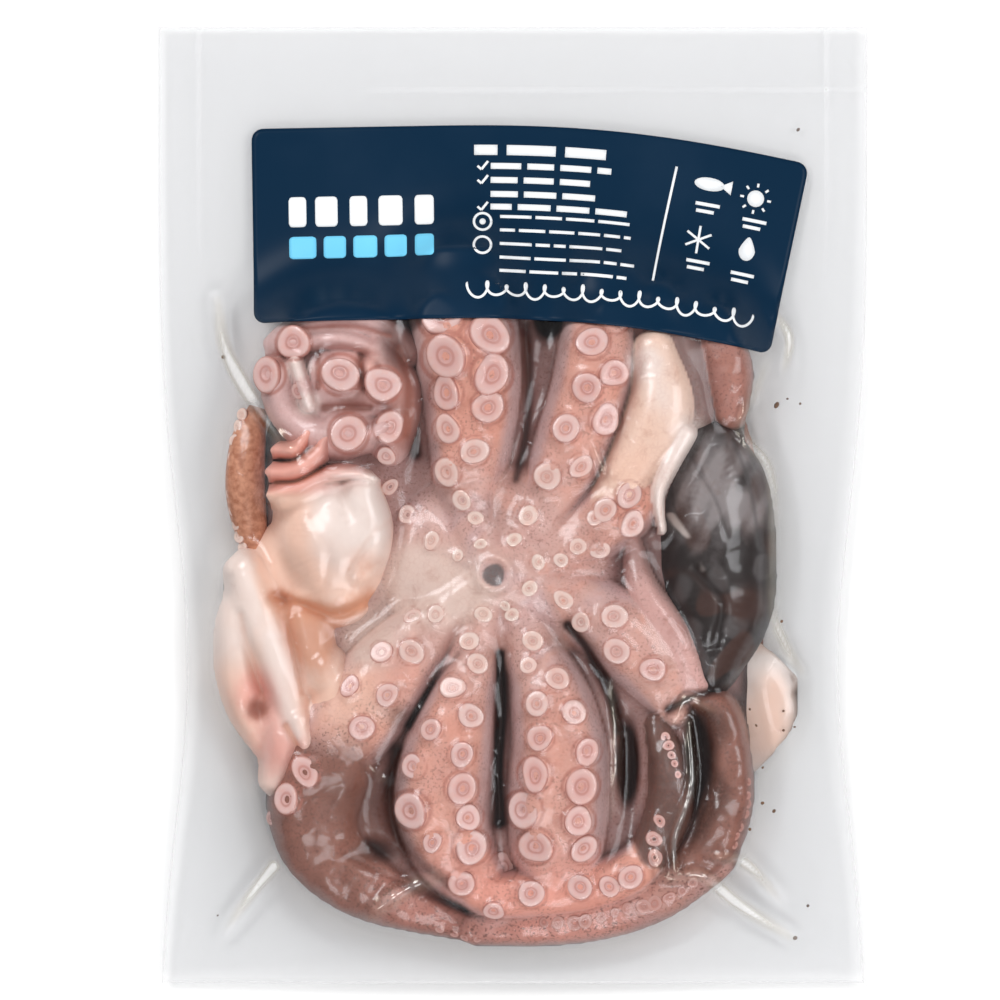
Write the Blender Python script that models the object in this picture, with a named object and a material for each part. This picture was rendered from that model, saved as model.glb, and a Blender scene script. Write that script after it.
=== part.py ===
# A whole octopus, vacuum packed in a clear flat pouch with a printed label.
# The pack lies on its back.  X runs across the pouch, Y along it, Z up.
# The origin is the middle of the pouch on the surface that it rests on.

import math

import bmesh
import bpy
import numpy as np

MM = 0.001

# Pouch
POUCH_WIDTH = 221 * MM
POUCH_LENGTH = 298 * MM
SIDE_PULL = 9.0 * MM            # how far the food draws each side edge in
SIDE_PULL_AT = -50 * MM         # where along the pouch it draws most
SIDE_PULL_REACH = 68 * MM
FLANGE_THICKNESS = 1.0 * MM
FLANGE_EDGE_Z = 3.2 * MM        # top of the flat border at the pouch's edge
FLANGE_FOOD_Z = 9.0 * MM        # top of the flat border where it meets the food
FLANGE_FALL = 17 * MM           # over how far it sinks to the edge's level
FLANGE_WAVE = 0.7 * MM
CELLS_ACROSS = 40
CELLS_ALONG = 54

# Food
FOOD_CENTRE = (-2 * MM, -29 * MM)
FOOD_HALF_WIDTH = 84 * MM
FOOD_HALF_LENGTH = 107 * MM
FOOD_SQUARENESS = 3.2
FOOD_BED_Z = 21 * MM            # level between the arms
REST_SHARE = 0.90               # share of the outline that lies flat
MOUTH = (-6, -21)

# Label
LABEL_LENGTH = 168 * MM
LABEL_WIDTH = 61 * MM
LABEL_CORNER = 3.7 * MM
LABEL_LEFT = (-81 * MM, 86.7 * MM)
LABEL_START_TURN = math.radians(1.0)
LABEL_END_TURN = math.radians(-12.0)
LABEL_CELLS = 24
LABEL_GAP = 0.3 * MM
LABEL_THICKNESS = 0.3 * MM
CUTTER_LOW = -10 * MM
CUTTER_HIGH = 80 * MM

# Each lobe follows a route over the food, in millimetres, and at each point of it
# has a half width and the height of its crest.
LOBES = {
    "arm_top": dict(
        route=[MOUTH, (-14, -2), (-13, 16), (-13, 38), (-15, 54), (-16, 68)],
        half_width=[10, 10, 12, 16, 18, 15],
        crest=[31, 32, 33, 35, 35, 25]),
    "arm_top_right": dict(
        route=[MOUTH, (8, -5), (15, 8), (20, 24), (25, 45), (27, 62)],
        half_width=[9, 9, 11, 14, 15, 13],
        crest=[31, 31, 32, 34, 34, 24]),
    "arm_right": dict(
        route=[MOUTH, (8, -17), (24, -8), (35, 0), (44, 12)],
        half_width=[8, 8, 10, 11, 11],
        crest=[31, 31, 31, 32, 32]),
    "arm_lower_right": dict(
        route=[MOUTH, (5, -26), (22, -33), (36, -42), (46, -54), (49, -67)],
        half_width=[8, 8, 10, 12, 10, 6],
        crest=[31, 31, 32, 34, 31, 24]),
    "arm_low": dict(
        route=[MOUTH, (2, -33), (7, -45), (13, -60), (14, -78), (13, -95), (15, -110), (18, -122)],
        half_width=[8, 8, 10, 14, 16, 17, 16, 12],
        crest=[31, 31, 33, 36, 38, 37, 31, 22]),
    "arm_low_left": dict(
        route=[MOUTH, (-10, -34), (-12, -45), (-16, -60), (-20, -79), (-23, -95), (-20, -108), (-10, -120)],
        half_width=[7, 7, 9, 12, 15, 16, 14, 11],
        crest=[31, 31, 33, 36, 38, 36, 31, 23]),
    "arm_left": dict(
        route=[MOUTH, (-23, -36), (-35, -48), (-45, -61), (-60, -76), (-68, -91), (-67, -106), (-52, -118),
               (-29, -125)],
        half_width=[8, 9, 12, 14, 16, 17, 16, 13, 9],
        crest=[31, 31, 32, 33, 32, 30, 27, 22, 18]),
    "arm_curled": dict(
        route=[(-36, 22), (-38, 44), (-52, 54), (-68, 49), (-71, 34), (-60, 25), (-51, 34)],
        half_width=[11, 12, 12, 12, 12, 12, 12],
        crest=[28, 31, 32, 30, 30, 32, 34]),
    "arm_outer_left": dict(
        route=[(-82, 28), (-84, 8), (-81, -15)],
        half_width=[7, 7, 7],
        crest=[16, 17, 16]),
    "arm_outer_right": dict(
        route=[(57, -56), (69, -68), (69, -94), (58, -113), (35, -125), (8, -129), (-12, -129)],
        half_width=[9, 12, 13, 12, 10, 9, 8],
        crest=[24, 27, 27, 24, 20, 17, 16]),
    "arm_inner_right": dict(
        route=[(40, -66), (50, -80), (46, -98), (42, -112)],
        half_width=[8, 9, 9, 9],
        crest=[26, 28, 28, 24]),
    "mantle_pale": dict(
        route=[(-58, 5), (-55, -12), (-52, -28)],
        half_width=[19, 20, 17],
        crest=[29, 31, 29]),
    "mantle_left": dict(
        route=[(-75, -20), (-78, -45), (-73, -66)],
        half_width=[11, 14, 14],
        crest=[20, 22, 25]),
    "mantle_dark": dict(
        route=[(63, 14), (63, -11), (60, -38)],
        half_width=[17, 19, 17],
        crest=[28, 30, 27]),
    "flap_right": dict(
        route=[(46, 36), (62, 36)],
        half_width=[14, 13],
        crest=[29, 26]),
    "pocket_right": dict(
        route=[(77, -48), (80, -65), (74, -80)],
        half_width=[10, 13, 10],
        crest=[15, 16, 14]),
}


def smooth_step(low, high, value):
    t = np.clip((value - low) / (high - low), 0.0, 1.0)
    return t * t * (3.0 - 2.0 * t)


def soft_max(first, second, blend):
    # the larger of two heights, rounded where they meet
    mix = np.clip(0.5 + 0.5 * (first - second) / blend, 0.0, 1.0)
    return second + (first - second) * mix + blend * mix * (1.0 - mix)


def outline_share(x, y):
    # 0 in the middle of the food, 1 on its outline
    across = np.abs((x - FOOD_CENTRE[0]) / FOOD_HALF_WIDTH)
    along = np.abs((y - FOOD_CENTRE[1]) / FOOD_HALF_LENGTH)
    return (across ** FOOD_SQUARENESS + along ** FOOD_SQUARENESS) ** (1.0 / FOOD_SQUARENESS)


def flange_height(x, y):
    outside = np.maximum(outline_share(x, y) - 1.0, 0.0) * FOOD_HALF_WIDTH
    level = FLANGE_EDGE_Z + (FLANGE_FOOD_Z - FLANGE_EDGE_Z) * np.exp(-outside / FLANGE_FALL)
    wave = np.sin(x / (23 * MM) + 0.8) * np.cos(y / (31 * MM)) + np.sin((x - y) / (37 * MM))
    return level + 0.5 * FLANGE_WAVE * wave


def lobe_height(x, y, lobe):
    # the crest is a round ridge over the nearest point of the lobe's route
    route = np.array(lobe["route"]) * MM
    half_width = np.array(lobe["half_width"]) * MM
    crest = np.array(lobe["crest"]) * MM
    best = np.zeros_like(x)
    for i in range(len(route) - 1):
        start = route[i]
        step = route[i + 1] - start
        share = ((x - start[0]) * step[0] + (y - start[1]) * step[1]) / np.dot(step, step)
        share = np.clip(share, 0.0, 1.0)
        away = np.hypot(x - start[0] - share * step[0], y - start[1] - share * step[1])
        reach = half_width[i] + share * (half_width[i + 1] - half_width[i])
        height = crest[i] + share * (crest[i + 1] - crest[i])
        ridge = height * np.sqrt(np.clip(1.0 - (away / (1.35 * reach)) ** 2, 0.0, 1.0))
        best = np.maximum(best, ridge)
    return best


def top_height(x, y):
    flange = flange_height(x, y)
    share = outline_share(x, y)
    bed = flange + (FOOD_BED_Z - FLANGE_FOOD_Z) * np.sqrt(np.clip(1.0 - share ** 5, 0.0, 1.0))
    height = bed
    for lobe in LOBES.values():
        height = soft_max(height, lobe_height(x, y, lobe), 2.0 * MM)
    return np.maximum(height, flange)


def bottom_height(x, y):
    flange = flange_height(x, y) - FLANGE_THICKNESS
    return flange * smooth_step(REST_SHARE, 1.04, outline_share(x, y))


def outline_point(u, v):
    # u and v run from -1 to 1 across and along the pouch
    y = 0.5 * POUCH_LENGTH * v
    pull = SIDE_PULL * np.exp(-((y - SIDE_PULL_AT) / SIDE_PULL_REACH) ** 2)
    x = u * (0.5 * POUCH_WIDTH - pull)
    return x, y


def new_object(name, bm, collection):
    mesh = bpy.data.meshes.new(name)
    bm.to_mesh(mesh)
    bm.free()
    obj = bpy.data.objects.new(name, mesh)
    collection.objects.link(obj)
    return obj


def give_material(obj, name, colour, roughness, alpha=1.0):
    material = bpy.data.materials.new(name)
    material.use_nodes = True
    shader = material.node_tree.nodes["Principled BSDF"]
    shader.inputs["Base Color"].default_value = (*colour, 1.0)
    shader.inputs["Roughness"].default_value = roughness
    shader.inputs["Metallic"].default_value = 0.0
    shader.inputs["Alpha"].default_value = alpha
    obj.data.materials.append(material)


def bag_mesh():
    bm = bmesh.new()
    bmesh.ops.create_grid(bm, x_segments=CELLS_ACROSS, y_segments=CELLS_ALONG, size=1.0)
    top = list(bm.verts)
    extruded = bmesh.ops.extrude_face_region(bm, geom=list(bm.faces))
    bottom = [item for item in extruded["geom"] if isinstance(item, bmesh.types.BMVert)]
    for verts, height in ((top, top_height), (bottom, bottom_height)):
        u = np.array([vert.co.x for vert in verts])
        v = np.array([vert.co.y for vert in verts])
        x, y = outline_point(u, v)
        z = height(x, y)
        for vert, place in zip(verts, zip(x, y, z)):
            vert.co = place
    soften_top(bm, top)
    # the flat rest is one face
    flat = [face for face in bm.faces if all(vert.co.z == 0.0 for vert in face.verts)]
    bmesh.ops.dissolve_faces(bm, faces=flat)
    bmesh.ops.triangulate(bm, faces=list(bm.faces))
    bmesh.ops.recalc_face_normals(bm, faces=list(bm.faces))
    return bm


def soften_top(bm, top):
    # film bridges the narrow grooves between the arms
    inner = [vert for vert in top if not any(vert.co.z == edge.other_vert(vert).co.z for edge in vert.link_edges)]
    inner = [vert for vert in inner if vert.co.z > FLANGE_FOOD_Z + 3 * MM]
    bmesh.ops.smooth_vert(bm, verts=inner, factor=0.5, use_axis_z=True)


def make_sealed_bag(collection):
    bag = new_object("sealed_bag", bag_mesh(), collection)
    bag.data.shade_smooth()
    give_material(bag, "sealed_bag", (0.62, 0.42, 0.36), 0.25)
    return bag


def label_turn(share):
    # the band starts level and swings down towards its right end
    t = min(max((share - 0.3) / 0.7, 0.0), 1.0)
    return LABEL_START_TURN + (LABEL_END_TURN - LABEL_START_TURN) * t * t * (3.0 - 2.0 * t)


def label_point(share, across):
    # walks along the middle line of the band, then steps off it sideways
    x, y = LABEL_LEFT
    steps = 40
    for i in range(steps):
        turn = label_turn(share * (i + 0.5) / steps)
        x += math.cos(turn) * share * LABEL_LENGTH / steps
        y += math.sin(turn) * share * LABEL_LENGTH / steps
    turn = label_turn(share)
    return x - math.sin(turn) * across, y + math.cos(turn) * across


def label_prism(collection):
    bm = bmesh.new()
    bmesh.ops.create_grid(bm, x_segments=LABEL_CELLS, y_segments=1, size=0.5)
    for vert in bm.verts:
        vert.co.x *= LABEL_LENGTH
        vert.co.y *= LABEL_WIDTH
    corners = [vert for vert in bm.verts if len(vert.link_edges) == 2]
    bmesh.ops.bevel(bm, geom=corners, offset=LABEL_CORNER, offset_type="OFFSET", segments=4,
                    profile=0.5, affect="VERTICES", material=-1)
    for vert in bm.verts:
        x, y = label_point(vert.co.x / LABEL_LENGTH + 0.5, vert.co.y)
        vert.co = (x, y, CUTTER_LOW)
    extruded = bmesh.ops.extrude_face_region(bm, geom=list(bm.faces))
    for item in extruded["geom"]:
        if isinstance(item, bmesh.types.BMVert):
            item.co.z = CUTTER_HIGH
    bmesh.ops.recalc_face_normals(bm, faces=list(bm.faces))
    return new_object("label", bm, collection)


def lifted_bag(bag, lift, name, collection):
    # a copy of the bag's solid, raised, to cut the label to the bag's surface
    obj = bpy.data.objects.new(name, bag.data.copy())
    obj.location.z = lift
    obj.display_type = "WIRE"
    obj.hide_render = True
    collection.objects.link(obj)
    return obj


def make_label(bag, collection, cutters):
    label = label_prism(collection)
    for name, lift, operation in (
            ("label_top_cutter", LABEL_GAP + LABEL_THICKNESS, "INTERSECT"),
            ("label_back_cutter", LABEL_GAP, "DIFFERENCE")):
        cut = label.modifiers.new(name, "BOOLEAN")
        cut.operation = operation
        cut.solver = "EXACT"
        cut.object = lifted_bag(bag, lift, name, cutters)
    give_material(label, "label", (0.004, 0.024, 0.055), 0.35)
    return label


def main():
    for obj in list(bpy.data.objects):
        bpy.data.objects.remove(obj, do_unlink=True)
    parts = bpy.data.collections.new("octopus_vacuum_pack")
    cutters = bpy.data.collections.new("cutters")
    for collection in (parts, cutters):
        bpy.context.scene.collection.children.link(collection)
    bag = make_sealed_bag(parts)
    make_label(bag, parts, cutters)


main()
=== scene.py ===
import math
import random

import bmesh
import bpy
import numpy as np
from mathutils import Matrix, Vector
from mathutils.bvhtree import BVHTree


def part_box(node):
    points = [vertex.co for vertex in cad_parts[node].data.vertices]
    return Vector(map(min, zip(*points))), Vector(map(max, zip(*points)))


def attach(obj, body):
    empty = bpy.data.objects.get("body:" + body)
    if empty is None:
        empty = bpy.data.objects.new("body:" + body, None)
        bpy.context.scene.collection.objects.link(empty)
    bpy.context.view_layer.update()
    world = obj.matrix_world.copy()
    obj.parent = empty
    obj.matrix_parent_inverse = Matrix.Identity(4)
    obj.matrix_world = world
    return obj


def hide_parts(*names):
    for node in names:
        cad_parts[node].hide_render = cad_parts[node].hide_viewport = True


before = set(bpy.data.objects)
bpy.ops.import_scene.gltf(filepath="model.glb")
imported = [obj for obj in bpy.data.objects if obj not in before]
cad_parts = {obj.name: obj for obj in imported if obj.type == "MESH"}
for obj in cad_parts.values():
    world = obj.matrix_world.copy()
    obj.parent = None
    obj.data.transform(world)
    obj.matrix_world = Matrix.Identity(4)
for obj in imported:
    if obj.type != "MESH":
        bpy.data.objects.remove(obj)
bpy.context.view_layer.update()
mm = 0.001
bagLow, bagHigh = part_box("sealed_bag")
pouchMiddle = 0.5 * (bagLow + bagHigh)
pouchHalfWidth = 0.5 * (bagHigh.x - bagLow.x)
pouchHalfLength = 0.5 * (bagHigh.y - bagLow.y)
mouth = (-6, -21)                       # all routes are in millimetres from the pouch's middle
squareness = 3.2                        # of the food's outline, where 2 would be an ellipse


def smoothStep(low, high, value):
    t = np.clip((value - low) / (high - low), 0.0, 1.0)
    return t * t * (3.0 - 2.0 * t)


def softMax(first, second, blend):
    mix = np.clip(0.5 + 0.5 * (first - second) / blend, 0.0, 1.0)
    return second + (first - second) * mix + blend * mix * (1.0 - mix)


def lerp(first, second, share):
    return first + (second - first) * share


def hill(x, y, centre, radius):
    return np.exp(-((x - centre[0]) ** 2 + (y - centre[1]) ** 2) / radius ** 2)


def hills(x, y, spots):
    return sum(strength * hill(x, y, centre, radius) for strength, centre, radius in spots)


def outlineShare(x, y, centre, reach):
    # 0 in the middle of a squarish lump, 1 on its outline
    across = np.abs((x - centre[0]) / reach[0])
    along = np.abs((y - centre[1]) / reach[1])
    return (across ** squareness + along ** squareness) ** (1 / squareness)


def wobble(x, y, size, seed):
    # smooth unevenness between -1 and 1
    rng = random.Random(seed)
    total = np.zeros_like(x)
    for octave in range(5):
        turn = rng.uniform(0, math.tau)
        reach = size * rng.uniform(0.55, 1.3)
        phase = rng.uniform(0, math.tau)
        bend = 0.9 * np.sin((x * math.sin(turn) - y * math.cos(turn)) / (1.7 * reach) + phase)
        total += np.sin((x * math.cos(turn) + y * math.sin(turn)) / reach + bend + 2 * phase)
    return total / 3.0


def smoothRoute(points, steps):
    # a rounded line through the points, with any further values along it
    points = np.array(points, float)
    ends = np.vstack([2 * points[0] - points[1], points, 2 * points[-1] - points[-2]])
    line = []
    for i in range(len(points) - 1):
        a, b, c, d = ends[i:i + 4]
        for t in np.arange(steps) / steps:
            line.append(0.5 * (2 * b + (c - a) * t + (2 * a - 5 * b + 4 * c - d) * t ** 2
                               + (3 * b - a - 3 * c + d) * t ** 3))
    line.append(points[-1])
    return np.array(line)


def lobeLine(lobe, steps=8):
    # each row is x, y, half width, crest
    rows = [(*point, width, crest) for point, width, crest in zip(lobe["route"], lobe["width"],
                                                                  lobe["crest"])]
    return smoothRoute(rows, steps)


def alongLobe(x, y, lobe):
    # for each place: how far off the route, as a share of the half width, and the crest there
    line = lobeLine(lobe)
    best = dict(off=np.full(x.shape, 1e6), crest=np.zeros(x.shape))
    for i in range(len(line) - 1):
        a, b = line[i], line[i + 1]
        step = b[:2] - a[:2]
        share = np.clip(((x - a[0]) * step[0] + (y - a[1]) * step[1]) / np.dot(step, step), 0, 1)
        dx, dy = x - a[0] - share * step[0], y - a[1] - share * step[1]
        off = np.hypot(dx, dy) / lerp(a[2], b[2], share)
        near = off < best["off"]
        best["off"] = np.where(near, off, best["off"])
        best["crest"] = np.where(near, lerp(a[3], b[3], share), best["crest"])
    return best


def ridge(found, flat=2.5):
    # a rounded crest over a route; a higher flat gives it a broader top
    inside = np.clip(1.0 - found["off"] ** flat, 0.0, 1.0) ** 0.5
    return found["crest"] * inside - np.where(found["off"] > 1, 2.0 * (found["off"] - 1), 0)


def blur(field, times):
    for i in range(times):
        padded = np.pad(field, 1, mode="edge")
        field = 0.25 * (padded[:-2, 1:-1] + padded[2:, 1:-1] + padded[1:-1, :-2] + padded[1:-1, 2:])
    return field


def finishMesh(name, bm, fields=None):
    # fields hold one value for each cell number that the vertices carry
    tag = bm.verts.layers.int.get("cell")
    cells = [vert[tag] for vert in bm.verts] if tag else None
    mesh = bpy.data.meshes.new(name)
    bm.to_mesh(mesh)
    bm.free()
    for field, values in (fields or {}).items():
        layer = mesh.attributes.new(field, "FLOAT", "POINT")
        layer.data.foreach_set("value", np.asarray(values, np.float32)[cells])
    mesh.shade_smooth()
    piece = bpy.data.objects.new(name, mesh)
    bpy.context.scene.collection.objects.link(piece)
    return piece


def planGrid(low, high, cell):
    across = max(2, round((high[0] - low[0]) / cell))
    along = max(2, round((high[1] - low[1]) / cell))
    return np.meshgrid(np.linspace(low[0], high[0], across + 1), np.linspace(low[1], high[1], along + 1))


def laidGrid(x, y, height, scale=1.0):
    # a grid with the given places, each vertex numbered by its cell
    rows, columns = x.shape
    bm = bmesh.new()
    bmesh.ops.create_grid(bm, x_segments=columns - 1, y_segments=rows - 1, size=0.5)
    tag = bm.verts.layers.int.new("cell")
    for vert in bm.verts:
        i, j = round((vert.co.x + 0.5) * (columns - 1)), round((vert.co.y + 0.5) * (rows - 1))
        vert[tag] = j * columns + i
        vert.co = (x[j, i] * scale, y[j, i] * scale, height[j, i] * scale)
    return bm


def reliefPiece(name, low, high, cell, shape, edge=7.0, under=3.0):
    # shape gives the height in millimetres and the colour fields over the plan
    x, y = planGrid(low, high, cell)
    height, fields = shape(x, y)
    bm = laidGrid(x, y, height)
    bmesh.ops.delete(bm, geom=[vert for vert in bm.verts if vert.co.z < edge], context="VERTS")
    trimSpurs(bm)
    for i in range(3):
        smoothRim(bm)
    extruded = bmesh.ops.extrude_face_region(bm, geom=list(bm.faces))
    for item in extruded["geom"]:
        if isinstance(item, bmesh.types.BMVert):
            item.co.z = under
    bmesh.ops.dissolve_faces(bm, faces=[item for item in extruded["geom"] if isinstance(item,
                                                                                        bmesh.types.BMFace)])
    bmesh.ops.recalc_face_normals(bm, faces=list(bm.faces))
    bmesh.ops.scale(bm, vec=(mm, mm, mm), verts=list(bm.verts))
    return finishMesh(name, bm, {key: value.ravel() for key, value in fields.items()})


def trimSpurs(bm):
    # drops loose corners and any island but the largest
    for i in range(3):
        spurs = [vert for vert in bm.verts if len(vert.link_faces) < 2]
        bmesh.ops.delete(bm, geom=spurs, context="VERTS")
    left = set(bm.verts)
    islands = []
    while left:
        stack = [left.pop()]
        island = list(stack)
        while stack:
            for edge in stack.pop().link_edges:
                for vert in edge.verts:
                    if vert in left:
                        left.remove(vert)
                        stack.append(vert)
                        island.append(vert)
        islands.append(island)
    islands.sort(key=len)
    for island in islands[:-1]:
        bmesh.ops.delete(bm, geom=island, context="VERTS")


def smoothRim(bm):
    rim = {}
    for edge in bm.edges:
        if edge.is_boundary:
            for vert in edge.verts:
                rim.setdefault(vert, []).append(edge.other_vert(vert).co.copy())
    moved = {vert: 0.5 * vert.co + 0.5 * sum(near, Vector()) / len(near) for vert, near in rim.items()}
    for vert, place in moved.items():
        vert.co = place


def tubePiece(route, radii, sides=20, step=6):
    # a round arm along a route of x, y, z, closed at both ends
    bm = bmesh.new()
    line = smoothRoute([(*point, radius) for point, radius in zip(route, radii)], step)
    rings = []
    for i, (x, y, z, radius) in enumerate(line):
        ahead = Vector(line[min(i + 1, len(line) - 1)][:3]) - Vector(line[max(i - 1, 0)][:3])
        turn = ahead.to_track_quat("Z", "Y").to_matrix().to_4x4()
        made = bmesh.ops.create_circle(bm, segments=sides, radius=radius,
                                       matrix=Matrix.Translation((x, y, z)) @ turn)
        rings.append(list({edge for vert in made["verts"] for edge in vert.link_edges}))
    for first, second in zip(rings[:-1], rings[1:]):
        bmesh.ops.bridge_loops(bm, edges=first + second)
    bmesh.ops.holes_fill(bm, edges=rings[0] + rings[-1], sides=0)
    return bm


class Wire:
    # a socket that can stand in a sum
    def __init__(self, finish, socket):
        self.finish = finish
        self.socket = socket

    def math(self, operation, other, swap=False):
        values = (other, self) if swap else (self, other)
        return self.finish.add("ShaderNodeMath", dict(operation=operation), {0: values[0], 1: values[1]})

    def __add__(self, other):
        return self.math("ADD", other)

    def __radd__(self, other):
        return self.math("ADD", other)

    def __sub__(self, other):
        return self.math("SUBTRACT", other)

    def __rsub__(self, other):
        return self.math("SUBTRACT", other, swap=True)

    def __mul__(self, other):
        return self.math("MULTIPLY", other)

    def __rmul__(self, other):
        return self.math("MULTIPLY", other)

    def above(self, low, high):
        return self.finish.add("ShaderNodeMapRange", dict(interpolation_type="SMOOTHSTEP"),
                               {"Value": self, "From Min": low, "From Max": high})

    def clamped(self):
        return self.finish.add("ShaderNodeClamp", {}, {"Value": self})


class Finish:
    # one material, built from the outputs back to the surface
    def __init__(self, name):
        self.material = bpy.data.materials.new(name)
        self.material.use_nodes = True
        self.tree = self.material.node_tree
        self.tree.nodes.clear()
        self.place = self.add("ShaderNodeTexCoord", {}, {}, "Object")

    def add(self, kind, settings, sockets, output=0):
        node = self.tree.nodes.new(kind)
        for key, value in settings.items():
            setattr(node, key, value)
        for key, value in sockets.items():
            if isinstance(value, Wire):
                self.tree.links.new(value.socket, node.inputs[key])
            elif isinstance(value, tuple) and len(value) == 3 and node.inputs[key].type == "RGBA":
                node.inputs[key].default_value = (*value, 1.0)
            else:
                node.inputs[key].default_value = value
        return Wire(self, node.outputs[output]) if node.outputs else None

    def mix(self, share, first, second, blend="MIX"):
        settings = dict(data_type="RGBA", blend_type=blend, clamp_factor=True)
        return self.add("ShaderNodeMix", settings, {0: share, 6: first, 7: second}, 2)

    def noise(self, scale, detail=3.0, rough=0.5, distortion=0.0, stretch=None):
        place = self.place
        if stretch:
            place = self.add("ShaderNodeMapping", {}, {"Vector": place, "Scale": stretch})
        return self.add("ShaderNodeTexNoise", {}, {"Vector": place, "Scale": scale, "Detail": detail,
                                                   "Roughness": rough, "Distortion": distortion})

    def field(self, name):
        return self.add("ShaderNodeAttribute", dict(attribute_name=name), {}, "Fac")

    def bump(self, height, strength, distance):
        return self.add("ShaderNodeBump", {}, {"Height": height, "Strength": strength, "Distance": distance})

    def surface(self, sockets, clear=None):
        shader = self.add("ShaderNodeBsdfPrincipled", {}, sockets)
        if clear is not None:
            through = self.add("ShaderNodeBsdfTransparent", {}, {"Color": (1.0, 1.0, 1.0)})
            shader = self.add("ShaderNodeMixShader", {}, {0: clear, 1: through, 2: shader})
        self.add("ShaderNodeOutputMaterial", {}, {"Surface": shader})
        return self.material


def wear(piece, material, body="root"):
    piece.data.materials.clear()
    piece.data.materials.append(material)
    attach(piece, body)
    return piece


# the crease and deep colours are painted shade in creases and hollows
palette = dict(
    skin=(0.64, 0.40, 0.35), oral=(0.76, 0.37, 0.28), flank=(0.60, 0.43, 0.43), creaseShade=(0.11, 0.038, 0.030),
    pale=(0.76, 0.60, 0.53), freckle=(0.20, 0.09, 0.07), disc=(0.68, 0.40, 0.37), groove=(0.46, 0.17, 0.13),
    pit=(0.46, 0.22, 0.19), cup=(0.72, 0.49, 0.47), brown=(0.25, 0.100, 0.070), deep=(0.026, 0.007, 0.005),
    mantle=(0.82, 0.65, 0.58), peach=(0.90, 0.60, 0.47), salmon=(0.80, 0.36, 0.30), stain=(0.62, 0.27, 0.15),
    cream=(0.88, 0.67, 0.55), milk=(0.85, 0.74, 0.69), slate=(0.16, 0.14, 0.14), coal=(0.020, 0.012, 0.011),
    ash=(0.34, 0.30, 0.30), rust=(0.36, 0.13, 0.09), rose=(0.66, 0.40, 0.37), mauve=(0.36, 0.22, 0.21),
    umber=(0.075, 0.030, 0.021), dusk=(0.16, 0.095, 0.090))


def fleshFinish(name, base, layers, freckles=0.25, gloss=0.38, grain=0.10, net=0.12, stains=0.35, wash=None):
    # layers are (field, colour, strength) painted in order over the base colour
    finish = Finish(name)
    broad = finish.noise(110, 3, 0.55)
    mottle = finish.noise(420, 4, 0.6)
    fine = finish.noise(1900, 2, 0.6)
    cells = finish.add("ShaderNodeTexVoronoi", dict(feature="DISTANCE_TO_EDGE"),
                       {"Vector": finish.place, "Scale": 620.0, "Randomness": 1.0})
    colour = finish.mix(broad.above(0.35, 0.7) * 0.35, palette[base], palette["rose"] if base == "skin"
                        else tuple(0.84 * part for part in palette[base]))
    if wash:
        drift = finish.noise(55, 3, 0.6, 0.5)
        colour = finish.mix(drift.above(0.50, 0.66) * 0.55, colour, palette[wash[0]])
        colour = finish.mix((1 - drift.above(0.34, 0.47)) * 0.4, colour, palette[wash[1]])
    for field, tone, strength in layers:
        edge = (finish.field(field) + (mottle - 0.5) * 0.4 * strength).above(0.08, 0.92)
        colour = finish.mix(edge * strength, colour, palette[tone])
    if net:
        colour = finish.mix((1 - cells.above(0.0, 0.22)) * mottle.above(0.35, 0.65) * net, colour,
                            palette["groove"])
    if freckles:
        spots = finish.noise(1150, 2, 0.55)
        often = broad.above(0.3, 0.6) * freckles * (1 - finish.field("clean")) + finish.field("spotted") * 0.5
        colour = finish.mix(spots.above(0.53, 0.66) * often, colour, palette["freckle"])
    blotch = finish.noise(150, 4, 0.65, 0.4)
    colour = finish.mix(blotch.above(0.50, 0.70) * stains, colour, (0.66, 0.46, 0.40), "MULTIPLY")
    # painted shade: this field darkens pits, cuts, creases and low places to the deep colour
    hollowShade = finish.field("hollowShade")
    colour = finish.mix(hollowShade.above(0.05, 0.9) * 0.97, colour, palette["deep"])
    rough = gloss + (mottle - 0.5) * 0.25
    return finish.surface({"Base Color": colour, "Roughness": rough, "Specular IOR Level": 0.3,
                           "Normal": finish.bump(mottle * 0.7 + fine * 0.3, grain, 0.0004)})


def creases(height, depth, times=10):
    # how far a place lies below what surrounds it, 0 to 1
    return np.clip((blur(height, times) - height) / depth, 0.0, 1.0)


def stroke(x, y, route, width):
    # a soft line over the plan, 1 along its middle
    line = dict(route=route, width=[1.0] * len(route), crest=[1.0] * len(route))
    return np.exp(-(alongLobe(x, y, line)["off"] / width) ** 2)


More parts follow.
